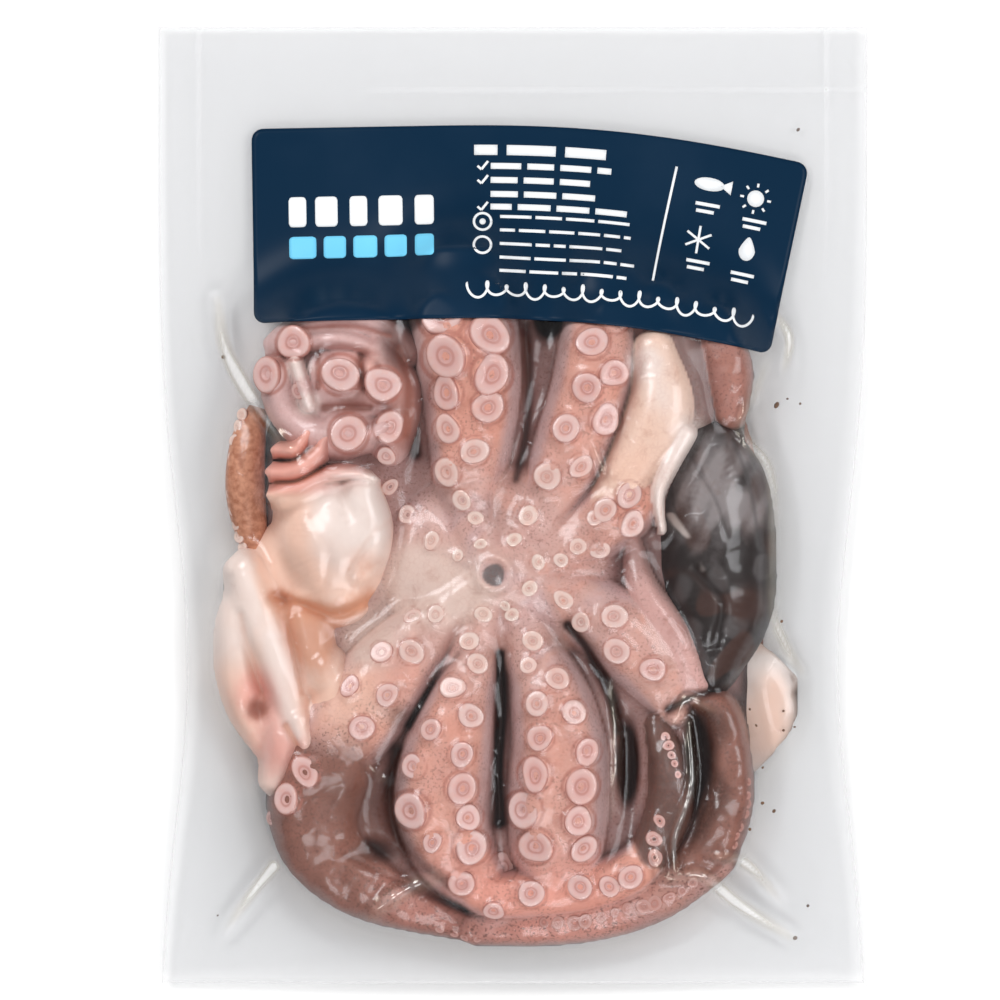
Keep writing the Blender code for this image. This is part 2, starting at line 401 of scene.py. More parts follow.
# cups are placed by how far along the arm they are, how far off its middle, and their radius
arms = {
    "bendLeft": dict(
        route=[(-50, -66), (-57, -80), (-61, -94), (-58, -107), (-46, -117), (-30, -125), (-12, -131)],
        width=[16, 18, 16.5, 15, 13, 9, 6], crest=[29, 29, 28, 27, 25, 22, 18], tint="brown"),
    "rimRight": dict(
        route=[(-12, -131), (8, -129), (28, -126), (46, -120), (62, -110)],
        width=[7, 9, 10, 10, 9], crest=[20, 23, 24, 24, 24], tint="salmon"),
    "outer": dict(
        route=[(56, -57), (63, -64), (66, -78), (65.5, -93), (61, -106), (52, -116)],
        width=[5, 8, 9, 10, 10.5, 9], crest=[26, 28, 28.5, 28.5, 27, 24], tint="brown"),
    "inner": dict(
        route=[(44, -68), (48, -80), (48, -94), (42, -108)],
        width=[5, 8, 9, 8], crest=[27, 30, 30, 28], tint="umber"),
    "flap": dict(route=[(44, 60), (50, 44), (56, 29)], width=[13, 13, 9], crest=[28, 29, 28], tint="dusk"),
    "lump": dict(route=[(62, 56), (66, 42), (67, 29)], width=[9, 9.5, 7], crest=[26, 28, 27], tint="rust"),
    "skirt": dict(route=[(37, -12), (40, -26), (48, -41), (56, -56)], width=[4, 6.5, 9.5, 8],
                  crest=[28, 31, 31.5, 28], tint="rose"),
    "membrane": dict(route=[(26, -2), (34, 7), (42, 19), (46, 32), (44, 48)], width=[7, 10, 13.5, 13, 9],
                     crest=[31, 33.5, 35.5, 35.5, 33], tint="cream"),
    "armTop": dict(
        route=[mouth, (-12, -6), (-14, 6), (-13, 20), (-13, 38), (-15, 54), (-16, 72)],
        width=[9, 9.5, 12, 15.5, 18, 19, 17], crest=[31, 31.5, 32.5, 34, 35.5, 35.5, 26], oral=0.9,
        cups=[(18, -0.1, 2.5), (24, 0.2, 3.2), (32, 0.5, 4.4), (39, -0.1, 4.4), (45.5, 0.45, 4.4),
              (52.5, -0.3, 5.1),
              (57, 0.44, 5.0), (62, -0.36, 6.1), (69, 0.36, 7.0), (74, -0.4, 6.6), (81, 0.36, 6.8),
              (87, -0.36, 6.0)]),
    "armTopRight": dict(
        route=[mouth, (5, -9), (13, 5), (18, 18), (23, 32), (26, 46), (28, 66)],
        width=[8, 9, 12, 14, 14.5, 14.5, 13], crest=[31, 31, 32, 33.5, 34, 33.5, 25], oral=0.6,
        cups=[(12, 0.3, 2.3), (21, 0.35, 3.1), (35, 0.3, 4.2), (41.5, -0.36, 3.8), (51, 0.25, 4.5),
              (57.5, -0.48, 4.8),
              (65, 0.1, 4.7), (71, -0.4, 4.4), (79.5, 0.15, 5.2), (88, -0.3, 5.0)]),
    "armRight": dict(
        route=[mouth, (8, -16), (22, -9), (33, -1), (42, 10)],
        width=[7, 9, 12, 13.5, 10], crest=[31, 31, 32, 33, 31], oral=0.75,
        cups=[(14, -0.15, 2.4), (20.5, -0.36, 2.4), (27, -0.2, 2.8), (32, -0.55, 3.1), (36, 0.2, 2.6),
              (40, 0.2, 3.7),
              (43.5, -0.45, 4.0), (49, 0.05, 4.2)]),
    "ribbon": dict(route=[(53, 22), (47.5, 12), (44.5, 3), (46, -8)], width=[5, 4.5, 3.2, 1.8],
                   crest=[35, 36.5, 35.5, 31], tint="milk"),
    "armLowerRight": dict(
        route=[mouth, (6, -26), (20, -31), (34, -40), (44, -51), (50, -64)],
        width=[7, 9, 13, 15, 13, 7], crest=[31, 31, 32.5, 34, 32, 26], oral=0.35,
        cups=[(12, 0.0, 2.5), (23, 0.0, 3.1), (31, -0.3, 3.1), (39, 0.2, 4.0), (46, -0.34, 4.0),
              (58.5, -0.05, 4.0)]),
    "armLow": dict(
        route=[mouth, (2, -33), (6, -45), (11, -58), (14, -74), (14, -92), (14, -108), (20, -120)],
        width=[7, 8, 10.5, 14, 17, 18, 16, 10], crest=[31, 31, 33, 36, 37, 36, 32, 25], oral=0.55,
        cups=[(14, -0.3, 2.3), (24, 0.1, 3.3), (30.5, -0.25, 2.8), (37.5, 0.3, 3.9), (43, -0.3, 4.0),
              (48, 0.4, 3.9),
              (54, -0.34, 4.3), (59.5, 0.5, 4.3), (66, -0.42, 5.1), (69.5, 0.38, 5.4), (77.5, -0.6, 5.6),
              (80, 0.35, 5.0), (88, -0.4, 5.4), (90.5, 0.5, 4.7)]),
    "armLowLeft": dict(
        route=[mouth, (-9, -33), (-12, -45), (-16, -60), (-20, -77), (-22, -93), (-18, -107), (-8, -119)],
        width=[6, 7, 9.5, 12.5, 16.5, 17.5, 15, 10], crest=[31, 31, 33, 36, 37, 35.5, 32, 25], oral=0.65,
        cups=[(13, 0.0, 2.7), (22, -0.25, 3.0), (28, 0.2, 3.3), (37, -0.3, 3.9), (44, 0.3, 4.0),
              (51, -0.45, 3.7),
              (56.5, 0.25, 4.1), (63, -0.58, 3.9), (67, 0.34, 5.0), (74, -0.55, 5.8), (78.5, 0.46, 4.4),
              (83, -0.3, 3.2), (89.5, 0.36, 5.5), (97, -0.33, 4.3)]),
    "armLeft": dict(
        route=[mouth, (-20, -33), (-32, -45), (-42, -57), (-51, -69), (-56, -79)],
        width=[7, 10, 14.5, 17, 17, 13], crest=[31, 31, 32.5, 33, 32, 29.5], oral=0.5,
        cups=[(21.5, -0.2, 2.8), (27, -0.55, 2.6), (35, 0.05, 4.0), (41, -0.4, 3.4), (50, 0.2, 3.7),
              (55, -0.42, 3.3),
              (63, 0.2, 4.0)]),
    "armFoot": dict(
        route=[(-17, -112), (-8, -120), (8, -120), (24, -118), (37, -113), (45, -103)],
        width=[8, 9, 10, 10, 9.5, 7], crest=[28, 28, 28, 28, 28, 27], oral=1.0,
        cups=[(15, -0.5, 3.4), (17, 0.95, 4.3), (26, 0.05, 4.5), (41, 0.1, 4.2), (50, -0.1, 3.2),
              (57, -0.1, 4.0)]),
}
# single suckers: x, y, radius
crownCups = [(-32.5, -3, 3.0), (-25, -11, 2.8), (-17, -15.5, 1.9), (-10, -12, 2.0), (-38, 5.5, 2.6),
             (-2.5, -31, 1.8),
             (-64, -82, 4.6), (-70, -90.5, 4.6), (-75, -97, 2.2)]
crown = dict(
    centre=(-4, -20), reach=(37, 34), crest=30.5, bed=22.0, bedCentre=(-2, -29), bedReach=(80, 103),
    # soft spots of colour: strength, place, radius
    spots=dict(
        pale=[(1.3, (-29, -24), 13), (1.1, (-45, -42), 9), (0.6, (-14, -30), 10)],
        grey=[(0.45, (-4, -3), 8), (0.8, (6, 50), 10), (0.3, (5, 24), 9), (0.7, (40, -16), 9),
              (0.6, (-38, -92), 12),
              (0.35, (24, -8), 8)],
        edge=[(1.0, (41, 44), 6), (0.9, (54, 22), 6), (0.6, (46, 33), 7)],
        blush=[(1.0, (-50, -60), 13), (0.8, (36, 12), 9)],
        umber=[(0.5, (-50, -90), 13), (0.6, (-35, -65), 6)]),
    # where a pit lies, how wide and long it is, how deep
    pits=[((35.5, -80), (3.4, 12), 9.0), ((57.5, -78), (4.0, 12), 9.0), ((-43, -107), (8, 4), 3.0),
          ((11, 58), (4, 6), 9.0)],
    cuts=[([(-4, -46), (-3.5, -62), (-4.5, -80), (-4, -98)], 1.3, 5.0),
          ([(17, -37), (24, -46), (30, -58), (33, -70)], 1.6, 4.0),
          ([(-36, -76), (-38, -88), (-37, -98), (-31, -108), (-20, -117)], 2.2, 2.2),
          ([(-17, -46), (-25, -56), (-32, -68)], 1.2, 1.6),
          ([(48, -63), (56, -59), (63, -57)], 1.3, 3.0),
          ([(-52, -108), (-42, -113), (-30, -119), (-14, -126)], 0.9, 1.2),
          ([(4, 56), (5, 38), (4, 22), (1, 8)], 1.5, 2.0),
          ([(-33, 50), (-32, 32), (-30, 16)], 1.8, 3.0)])
tints = ("brown", "salmon", "umber", "dusk", "rust", "rose", "cream", "milk")


def cupPlaces():
    places = [(x, y, radius) for x, y, radius in crownCups]
    for arm in arms.values():
        if "cups" not in arm:
            continue
        line = lobeLine(arm, 10)
        walked = np.concatenate([[0], np.cumsum(np.hypot(*(line[1:, :2] - line[:-1, :2]).T))])
        for at, off, radius in arm["cups"]:
            x, y, width = (np.interp(at, walked, line[:, k]) for k in range(3))
            i = min(max(int(np.searchsorted(walked, at)), 1), len(line) - 1)
            ahead = line[i, :2] - line[i - 1, :2]
            ahead = ahead / np.hypot(*ahead)
            places.append((x - ahead[1] * off * width, y + ahead[0] * off * width, radius))
    return places


def beadsAlong(route, radius, gap, dull):
    line = smoothRoute(route, 40)
    walked = np.concatenate([[0], np.cumsum(np.hypot(*(line[1:] - line[:-1]).T))])
    return [(np.interp(at, walked, line[:, 0]) + 0.5 * math.sin(2.3 * at),
             np.interp(at, walked, line[:, 1]) + 0.5 * math.cos(3.1 * at),
             radius * (1 + 0.22 * math.sin(1.7 * at)), dull) for at in np.arange(gap / 2, walked[-1], gap)]


def collars(x, y, height, places, lift=0.8):
    # flesh swells round each sucker and a red groove runs where the cup meets it; the groove's dark red is
    # also painted shade under the cup's edge
    groove = np.zeros_like(x)
    swell = np.zeros_like(x)
    for cx, cy, radius in places:
        share = np.hypot(x - cx, y - cy) / radius
        swell = np.maximum(swell, lift * min(1.0, radius / 4.5) * np.exp(-(share / 1.32) ** 6))
        groove = np.maximum(groove, np.exp(-((share - 1.08) / 0.12) ** 2) * min(1.0, 0.2 + radius / 8))
    return height + swell - 0.3 * groove, groove


def crownShape(x, y):
    fromMouth = np.hypot(x - mouth[0], y - mouth[1])
    blend = 1.2 + 5.5 * np.exp(-(fromMouth / 27) ** 2)
    bedShare = outlineShare(x, y, crown["bedCentre"], crown["bedReach"]) + 0.015 * wobble(x, y, 12, 2)
    height = crown["bed"] * np.clip(1 - bedShare ** 7, 0, 1) ** 0.5
    share = np.hypot((x - crown["centre"][0]) / crown["reach"][0],
                     (y - crown["centre"][1]) / crown["reach"][1])
    height = np.maximum(height, crown["crest"] - 9.0 * share ** 3.0)
    masks = {key: 0 * x for key in ("oral", "flank") + tints}
    masks["valley"] = smoothStep(0.75, 1.05, share)
    top = height.copy()
    for name, arm in arms.items():
        found = alongLobe(x, y, arm)
        lift = ridge(found, 3.4)
        near = smoothStep(-1.0, 1.6, lift - top)
        oral = arm.get("oral", 0.0) * smoothStep(0.85, 0.45, found["off"]) * smoothStep(16, 50, fromMouth)
        masks["oral"] = lerp(masks["oral"], oral, near)
        masks["flank"] = lerp(masks["flank"], smoothStep(0.45, 0.75, found["off"]) * ("oral" in arm)
                              * smoothStep(18, 40, fromMouth), near)
        for tint in tints:
            masks[tint] = lerp(masks[tint], smoothStep(4, 26, fromMouth) * (arm.get("tint") == tint), near)
        masks["valley"] = lerp(masks["valley"], 0.0, near)
        height = softMax(height, lift, blend)
        top = np.maximum(top, lift)
    height += (0.35 * wobble(x, y, 4.5, 3) + 0.5 * wobble(x, y, 11, 4)) * smoothStep(20, 30, height)
    rough = np.clip(masks["brown"] + masks["umber"] + masks["salmon"] + masks["rust"], 0, 1)
    height += rough * (0.28 * wobble(x, y, 1.5, 7) + 0.4 * wobble(x * 1.6, y * 0.8, 3.0, 12))
    height, masks["groove"] = collars(x, y, height, cupPlaces())
    # the mouth is a pit with a dark lens in it
    height -= 2.6 * np.exp(-(fromMouth / 3.6) ** 4) - 0.9 * np.exp(-((fromMouth - 5.2) / 1.3) ** 2)
    # dark gathers the pits and cuts, which the finish paints dark as painted shade
    dark = 0 * x
    for (pitX, pitY), (wide, long), deep in crown["pits"]:
        pit = np.exp(-(((x - pitX) / wide) ** 2 + ((y - pitY) / long) ** 2) ** 1.5)
        height -= deep * pit
        dark = np.maximum(dark, pit * deep / 7)
    shade = 0 * x
    for route, width, depth in crown["cuts"]:
        cut = stroke(x, y, route, width + 0.3 * wobble(x, y, 9, 6))
        height -= depth * cut
        dark = np.maximum(dark, cut * min(1.0, depth / 5))
        shade = np.maximum(shade, stroke(x, y, route, 2.6 * width) * min(1.0, depth / 4))
    masks["lens"] = smoothStep(4.0, 2.4, fromMouth + 0.8 * wobble(x, y, 2, 8))
    spots = {name: hills(x, y, found) for name, found in crown["spots"].items()}
    masks["pale"] = np.clip(spots["pale"] + 0.45 * smoothStep(3.2, 5.5, fromMouth) * hill(x, y, mouth, 9), 0,
                            1)
    for name in ("grey", "edge", "blush"):
        masks[name] = np.clip(spots[name], 0, 1)
    # painted shade: creases, low places and the flesh beside the cuts darken towards the crease colour
    masks["shade"] = np.clip(creases(height, 6.0, 10) + 0.6 * smoothStep(25, 16, height) + 0.55 * shade, 0, 1)
    masks["hollowShade"] = np.clip(creases(height, 9.0, 16) + smoothStep(18, 11, height) + dark, 0, 1)
    masks["brown"] = np.maximum(masks["brown"], smoothStep(-62, -84, y) * smoothStep(-30, -50, x))
    # inner darkens the outer arm's side by the pit: dark brown skin with painted shade over it
    inner = smoothStep(70, 60, x + 3 * wobble(x, y, 4, 13)) * smoothStep(50, 56, x)
    masks["umber"] = np.clip(masks["umber"] + spots["umber"]
                             + 0.9 * inner * smoothStep(-58, -66, y) * smoothStep(-112, -98, y), 0, 1)
    masks["spotted"] = np.clip(masks["brown"] + masks["umber"] + masks["salmon"] + 0.4 * masks["valley"]
                               + 0.5 * masks["rust"] + 0.4 * masks["dusk"], 0, 1)
    masks["clean"] = np.clip(masks["cream"] + masks["milk"] + masks["pale"] + masks["edge"], 0, 1)
    masks["ruddy"] = 0.8 * smoothStep(-92, -118, y) * smoothStep(60, 20, np.abs(x + 2)) \
        + 0.6 * smoothStep(-60, -74, x) * smoothStep(-56, -66, y) * smoothStep(-92, -80, y)
    return height, masks


def makeCrown():
    piece = reliefPiece("armsAndCrown", (-88, -140), (84, 79), 0.75, crownShape, edge=9.0, under=4.0)
    layers = [("valley", "mauve", 0.8), ("flank", "flank", 0.7), ("oral", "oral", 0.85),
              ("brown", "brown", 0.9),
              ("salmon", "rust", 0.5), ("umber", "umber", 0.85), ("dusk", "dusk", 0.85),
              ("rust", "rust", 0.75),
              ("rose", "rose", 0.75), ("cream", "cream", 0.8), ("milk", "milk", 0.9), ("edge", "milk", 0.85),
              ("blush", "peach", 0.6), ("ruddy", "salmon", 0.45), ("pale", "pale", 0.85),
              ("groove", "groove", 0.7),
              ("grey", "dusk", 0.6), ("lens", "slate", 0.9), ("shade", "creaseShade", 0.8)]
    return wear(piece, fleshFinish("armSkin", "skin", layers, freckles=0.4, wash=("flank", "oral")))


cupShape = dict(
    sides=24,
    profile=[(0.0, -0.62), (0.72, -0.60), (0.96, -0.34), (1.02, -0.12), (1.0, -0.02), (0.94, 0.045),
             (0.83, 0.075),
             (0.62, 0.06), (0.46, 0.045), (0.39, 0.05), (0.34, 0.075), (0.29, 0.06), (0.24, 0.0),
             (0.16, -0.05),
             (0.0, -0.07)])


def cupUnit():
    # a profile turned round once, with its distance from the middle kept as a field
    bm = bmesh.new()
    zone = bm.verts.layers.float.new("zone")
    bm.verts.layers.float.new("tone")
    bm.verts.layers.float.new("blush")
    verts = [bm.verts.new((radius, 0, height)) for radius, height in cupShape["profile"]]
    edges = [bm.edges.new(pair) for pair in zip(verts[:-1], verts[1:])]
    bmesh.ops.spin(bm, geom=verts + edges, cent=(0, 0, 0), axis=(0, 0, 1), angle=math.tau,
                   steps=cupShape["sides"], use_merge=True)
    bmesh.ops.remove_doubles(bm, verts=list(bm.verts), dist=0.0005)
    for vert in bm.verts:
        radius = math.hypot(vert.co.x, vert.co.y)
        vert[zone] = radius if vert.co.z > -0.2 else 1.2
    bmesh.ops.recalc_face_normals(bm, faces=list(bm.faces))
    mesh = bpy.data.meshes.new("cupUnit")
    bm.to_mesh(mesh)
    bm.free()
    return mesh


def addCup(bm, unit, place, normal, radius, rng, tone=1.0):
    first = len(bm.verts)
    bm.from_mesh(unit)
    bm.verts.ensure_lookup_table()
    verts = bm.verts[first:]
    toneLayer = bm.verts.layers.float["tone"]
    blushLayer = bm.verts.layers.float["blush"]
    turn = Vector(normal).to_track_quat("Z", "Y").to_matrix().to_4x4()
    spin = Matrix.Rotation(rng.uniform(0, math.tau), 4, "Z")
    oval = Matrix.Diagonal((rng.uniform(0.98, 1.10), rng.uniform(0.86, 1.0), rng.uniform(0.8, 1.5), 1))
    lean, bulge = rng.uniform(0, math.tau), rng.uniform(0.0, 0.10)
    slip, blush = rng.uniform(0.0, 0.16), rng.random()
    for vert in verts:
        angle = math.atan2(vert.co.y, vert.co.x)
        reach = math.hypot(vert.co.x, vert.co.y)
        grow = 1 + bulge * math.cos(2 * angle + lean) + 0.5 * bulge * math.cos(3 * angle - lean)
        inner = slip * max(0.0, 1 - reach)
        vert.co = Vector((vert.co.x * grow + inner * math.cos(lean), vert.co.y * grow + inner
                          * math.sin(lean),
                          vert.co.z + 0.08 * reach * math.cos(angle - lean)))
        vert[toneLayer] = tone
        vert[blushLayer] = blush
    bmesh.ops.transform(bm, verts=verts, matrix=Matrix.Translation(place) @ turn @ oval @ spin
                        @ Matrix.Scale(radius, 4))


def surfaceAt(tree, x, y, reach=1.5):
    # the top of what lies there, and its slope, in metres
    hit = tree.ray_cast(Vector((x * mm, y * mm, 0.1)), Vector((0, 0, -1)))
    if hit[0] is None:
        return None, None
    normal = Vector()
    for dx, dy in ((0, 0), (reach, 0), (-reach, 0), (0, reach), (0, -reach)):
        near = tree.ray_cast(Vector(((x + dx) * mm, (y + dy) * mm, 0.1)), Vector((0, 0, -1)))
        if near[0] is not None:
            normal += near[1]
    return hit[0], normal.normalized()


def makeCups(tree, places, seed, flatten=0.5):
    unit = cupUnit()
    rng = random.Random(seed)
    bm = bmesh.new()
    for x, y, radius, *dull in places:
        place, normal = surfaceAt(tree, x, y, 0.45 * radius)
        if place is None:
            continue
        up = (normal + Vector((0, 0, flatten))).normalized()
        tone = min(1.0, max(0.0, (math.hypot(x - mouth[0], y - mouth[1]) - 12) / 45)) + sum(dull)
        addCup(bm, unit, place + up * radius * mm * 0.03, up, radius * mm, rng, tone)
    return bm


def cupFinish(name):
    finish = Finish(name)
    zone = finish.field("zone")
    tone = finish.field("tone").clamped()
    dull = finish.field("tone") - tone
    mottle = finish.noise(450, 3, 0.6)
    pink = finish.mix(finish.field("blush"), palette["disc"], palette["cup"])
    face = finish.mix(tone, palette["pale"], pink)
    face = finish.mix(zone.above(0.45, 0.8) * 0.22, face, palette["milk"])
    face = finish.mix(mottle.above(0.4, 0.75) * 0.3, face, palette["oral"])
    # the outer edge and underside go dark red: the cup's red rim with painted shade where it overhangs the
    # flesh
    colour = finish.mix(zone.above(0.86, 1.0) * (0.35 + tone * 0.4), face, palette["groove"])
    ring = zone.above(0.30, 0.37) * (1 - zone.above(0.42, 0.55))
    colour = finish.mix(ring * (0.25 + tone * 0.25), colour, palette["groove"])
    colour = finish.mix((1 - zone.above(0.04, 0.26)) * (0.25 + tone * 0.3), colour, palette["pit"])
    colour = finish.mix(dull.clamped(), colour, palette["rust"])
    return finish.surface({"Base Color": colour, "Roughness": 0.4 + (mottle - 0.5) * 0.2,
                           "Specular IOR Level": 0.3,
                           "Normal": finish.bump(mottle, 0.08, 0.0003)})


def lobe(route, width, crest):
    return dict(route=route, width=width, crest=crest)


def groupShape(groups, extra, flat=2.5, depth=4.0, cups=(), cuts=()):
    # each group of lobes is melted together by its own amount; cuts are creases pressed in
    def shape(x, y):
        height = np.zeros_like(x)
        for lobes, blend in groups:
            for item in lobes:
                height = softMax(height, ridge(alongLobe(x, y, item), flat), blend)
        height, masks = extra(x, y, height)
        masks = {key: np.clip(mask, 0, 1) for key, mask in masks.items()}
        # painted shade: the cut mask marks the pressed creases, the shade and hollow masks mark creases and
        # low places, and the finishes paint them darker
        masks["cut"] = 0 * x
        for route, width, deep in cuts:
            cut = stroke(x, y, route, width + 0.25 * wobble(x, y, 6, 9))
            height = height - deep * cut
            masks["cut"] = np.maximum(masks["cut"], cut * min(1.0, deep / 1.6))
        height, masks["groove"] = collars(x, y, height, cups)
        masks["shade"] = np.clip(creases(height, depth, 10), 0, 1)
        masks["hollowShade"] = np.clip(creases(height, 2.4 * depth, 18) + smoothStep(14, 7, height), 0, 1)
        return height, masks
    return shape


def makeCore():
    # the folded body under everything, its skin against the back film
    bed = dict(centre=(-2, -29), reach=(82, 104), top=11.0)

    def shape(x, y):
        share = outlineShare(x, y, bed["centre"], bed["reach"]) + 0.02 * wobble(x, y, 14, 5)
        return bed["top"] * np.clip(1 - share ** 8, 0, 1) ** 0.5, {"hollowShade": 0 * x}
    piece = reliefPiece("body", (-90, -140), (86, 82), 1.6, shape, edge=5.0, under=1.0)
    return wear(piece, fleshFinish("bodySkin", "brown", [], freckles=0.4))


mantle = dict(
    soft=[
        lobe([(-68, -16), (-68, -40), (-64, -70)], [15, 16, 14], [23, 23, 23]),
        lobe([(-78, -22), (-84, -34), (-85, -50), (-81, -64), (-76, -76)], [8, 9, 9, 9, 6],
             [21, 24, 24, 24, 22]),
        lobe([(-64, -30), (-62, -42), (-60, -54)], [9, 10, 8], [27, 28, 28.5]),
        lobe([(-57, -50), (-54, -60), (-60, -72)], [9, 11, 9], [29.5, 30.5, 29]),
        lobe([(-83, -20), (-78, -33), (-73, -48), (-68, -62), (-65, -72)], [8, 11, 10, 8, 5],
             [26, 28, 28.5, 28.5, 27.5]),
        lobe([(-74, -62), (-70, -73), (-74, -86)], [8, 9.5, 6], [25, 27.5, 25]),
        lobe([(-66, -66), (-64, -76)], [5, 5], [29.5, 29]),
        lobe([(-60, 0), (-56, -13), (-54, -26)], [16, 20, 16], [31.5, 33.5, 30]),
        lobe([(-47, 4), (-45, -9), (-47, -20)], [9, 11, 9], [32.5, 33.5, 31]),
        lobe([(-70, 3), (-62, 6)], [7, 8], [31, 32])],
    firm=[
        lobe([(-75, 3), (-66, 5), (-58, 9), (-50, 10), (-43, 8)], [3, 4.5, 4, 3.5, 2.5],
             [30, 34, 34.5, 34, 33]),
        lobe([(-74, 10), (-67, 10.5), (-61, 15), (-57, 21)], [4, 5, 5, 4], [30, 34, 35, 33.5]),
        lobe([(-73, 17), (-67, 17), (-63, 22)], [3.5, 4, 3.5], [29, 32.5, 33])],
    cuts=[
        ([(-74, -28), (-65, -31), (-54, -34), (-43, -29)], 1.8, 2.6),
        ([(-84, -34), (-81, -48), (-77, -60)], 1.5, 0.7),
        ([(-72, -33), (-67, -44), (-65, -58)], 1.4, 0.9), ([(-73, 7), (-66, 7.5), (-59, 11)], 1.0, 1.8),
        ([(-72, 14), (-66, 14), (-61, 18)], 1.0, 1.8), ([(-38, -5), (-45, -11), (-51, -20)], 1.4, 0.5),
        ([(-40, -17), (-46, -21), (-50, -28)], 1.1, 0.5), ([(-62, -4), (-57, -14), (-58, -24)], 1.2, 0.35),
        ([(-70, -68), (-66, -76), (-68, -84)], 1.0, 1.5), ([(-40, 6), (-36, -4), (-36, -16), (-39, -27)], 1.5,
                                                           2.2)])


def makeMantle():
    def masks(x, y, height):
        orifice = hill(x, y, (-79, -63), 4.0)
        # flap is a pale line along the crest of the left fold: a painted highlight in the flesh's milk colour
        flap = stroke(x, y, [(-84, -26), (-76, -38), (-72, -52), (-67, -70)], 4)
        seam = stroke(x, y, [(-72, -29), (-58, -35), (-44, -29)], 3.5)
        found = dict(
            milk=1.3 * hill(x, y, (-48, -2), 13) + 0.8 * smoothStep(-75, -84, x) * smoothStep(-60, -40, y)
            + 0.7 * flap,
            peach=smoothStep(-54, -70, x) * smoothStep(-30, -20, y) + smoothStep(-74, -80, x) * 0.6
            + hill(x, y, (-57, -62), 12) + 0.6 * smoothStep(-12, -26, y) * smoothStep(-40, -30, y)
            + 0.4 * smoothStep(0.2, 0.8, wobble(x, y, 7, 25)),
            salmon=smoothStep(0, 7, y) * smoothStep(-40, -50, x)
            + hills(x, y, [(0.9, (-78, -58), 9), (0.8, (-71, -76), 11)]),
            stain=hills(x, y, [(1.4, (-63, -38), 8), (0.6, (-60, -48), 8), (0.5, (-46, -18), 6)]) + 0.9
            * seam,
            orifice=orifice)
        return height - 2.5 * orifice + 0.6 * wobble(x, y, 6, 22) + 0.25 * wobble(x, y, 2.6, 23), found
    shape = groupShape([(mantle["soft"], 4.0), (mantle["firm"], 1.0)], masks, cuts=mantle["cuts"])
    piece = reliefPiece("mantle", (-96, -94), (-28, 30), 0.6, shape, edge=9, under=4)
    # cut and shade are painted shade, darkening the creases in stain and rust colours
    layers = [("peach", "peach", 0.8), ("salmon", "salmon", 0.75), ("milk", "milk", 0.85),
              ("stain", "stain", 0.75),
              ("orifice", "rust", 0.9), ("cut", "stain", 0.55), ("shade", "rust", 0.4)]
    wear(piece, fleshFinish("mantleFlesh", "mantle", layers, freckles=0.0, grain=0.05, net=0.0, stains=0.08))


darkLobes = [lobe([(60, 18), (62, 4), (62, -14), (63, -32), (61, -52)], [12, 19, 21, 19, 10],
                  [28, 31, 32, 31, 27])]
darkCuts = [([(54, 16), (62, 2), (66, -10)], 0.9, 0.7), ([(68, 20), (73, 6), (76, -12)], 1.0, 0.9),
            ([(56, -20), (64, -30), (62, -44)], 1.3, 1.1)]


def makeDark():
    def masks(x, y, height):
        over = x * 0.9 - y * 0.42
        streak = smoothStep(0.0, 1.0, 0.5 + 0.5 * np.sin(over / 1.0 + 2.0 * wobble(x, y, 14, 31)))
        haze = hills(x, y, [(1.25, (66, 4), 17), (0.6, (56, 12), 8)])
        # gleam is a painted highlight: a pale glint line on the dark skin
        gleam = stroke(x, y, [(47, -1), (54, -11), (58, -20)], 1.3)
        found = dict(
            ash=haze * (0.65 + 0.35 * streak) * (0.8 + 0.4 * wobble(x, y, 4, 39)),
            slate=0.9 * smoothStep(0.0, 0.8, wobble(x, y, 2.2, 34)),
            brown=0.9 * hill(x, y, (73, -31), 7) + smoothStep(0.0, 0.7, wobble(x, y, 3.1, 35)),
            gleam=gleam * smoothStep(-0.2, 0.6, wobble(x, y, 2, 37)))
        return height + 0.5 * wobble(x, y, 6, 36) + 0.35 * wobble(x, y, 2.2, 38), found
    shape = groupShape([(darkLobes, 2.0)], masks, cuts=darkCuts)
    piece = reliefPiece("mantleDark", (36, -68), (86, 34), 0.6, shape, edge=10, under=4)
    # cut is painted shade, darkening the creases to coal
    layers = [("slate", "slate", 0.4), ("brown", "umber", 0.7), ("ash", "ash", 0.8), ("gleam", "milk", 0.5),
              ("cut", "coal", 0.8)]
    wear(piece, fleshFinish("darkSkin", "coal", layers, freckles=0.0, grain=0.25, net=0.0))


pocketLobes = [lobe([(68, -43), (77, -50), (86, -54)], [7, 9, 6], [11.5, 12, 10.5]),
               lobe([(73, -54), (78, -64), (73, -77)], [12, 13.5, 10], [12, 12, 11.5])]


def makePocket():
    def masks(x, y, height):
        tan = hills(x, y, [(1.0, (76, -70), 12), (0.5, (82, -56), 7)]) + smoothStep(-48, -42, y)
        return height, dict(rim=smoothStep(83, 88, x + 0.15 * (y + 60)), tan=tan)
    shape = groupShape([(pocketLobes, 2.0)], masks, flat=4.5)
    piece = reliefPiece("juicePocket", (60, -94), (98, -34), 0.8, shape, edge=8.8, under=7)
    layers = [("rim", "milk", 0.9), ("tan", "peach", 0.7)]
    wear(piece, fleshFinish("juice", "milk", layers, freckles=0.0, gloss=0.2, grain=0.0, net=0.0, stains=0.0))


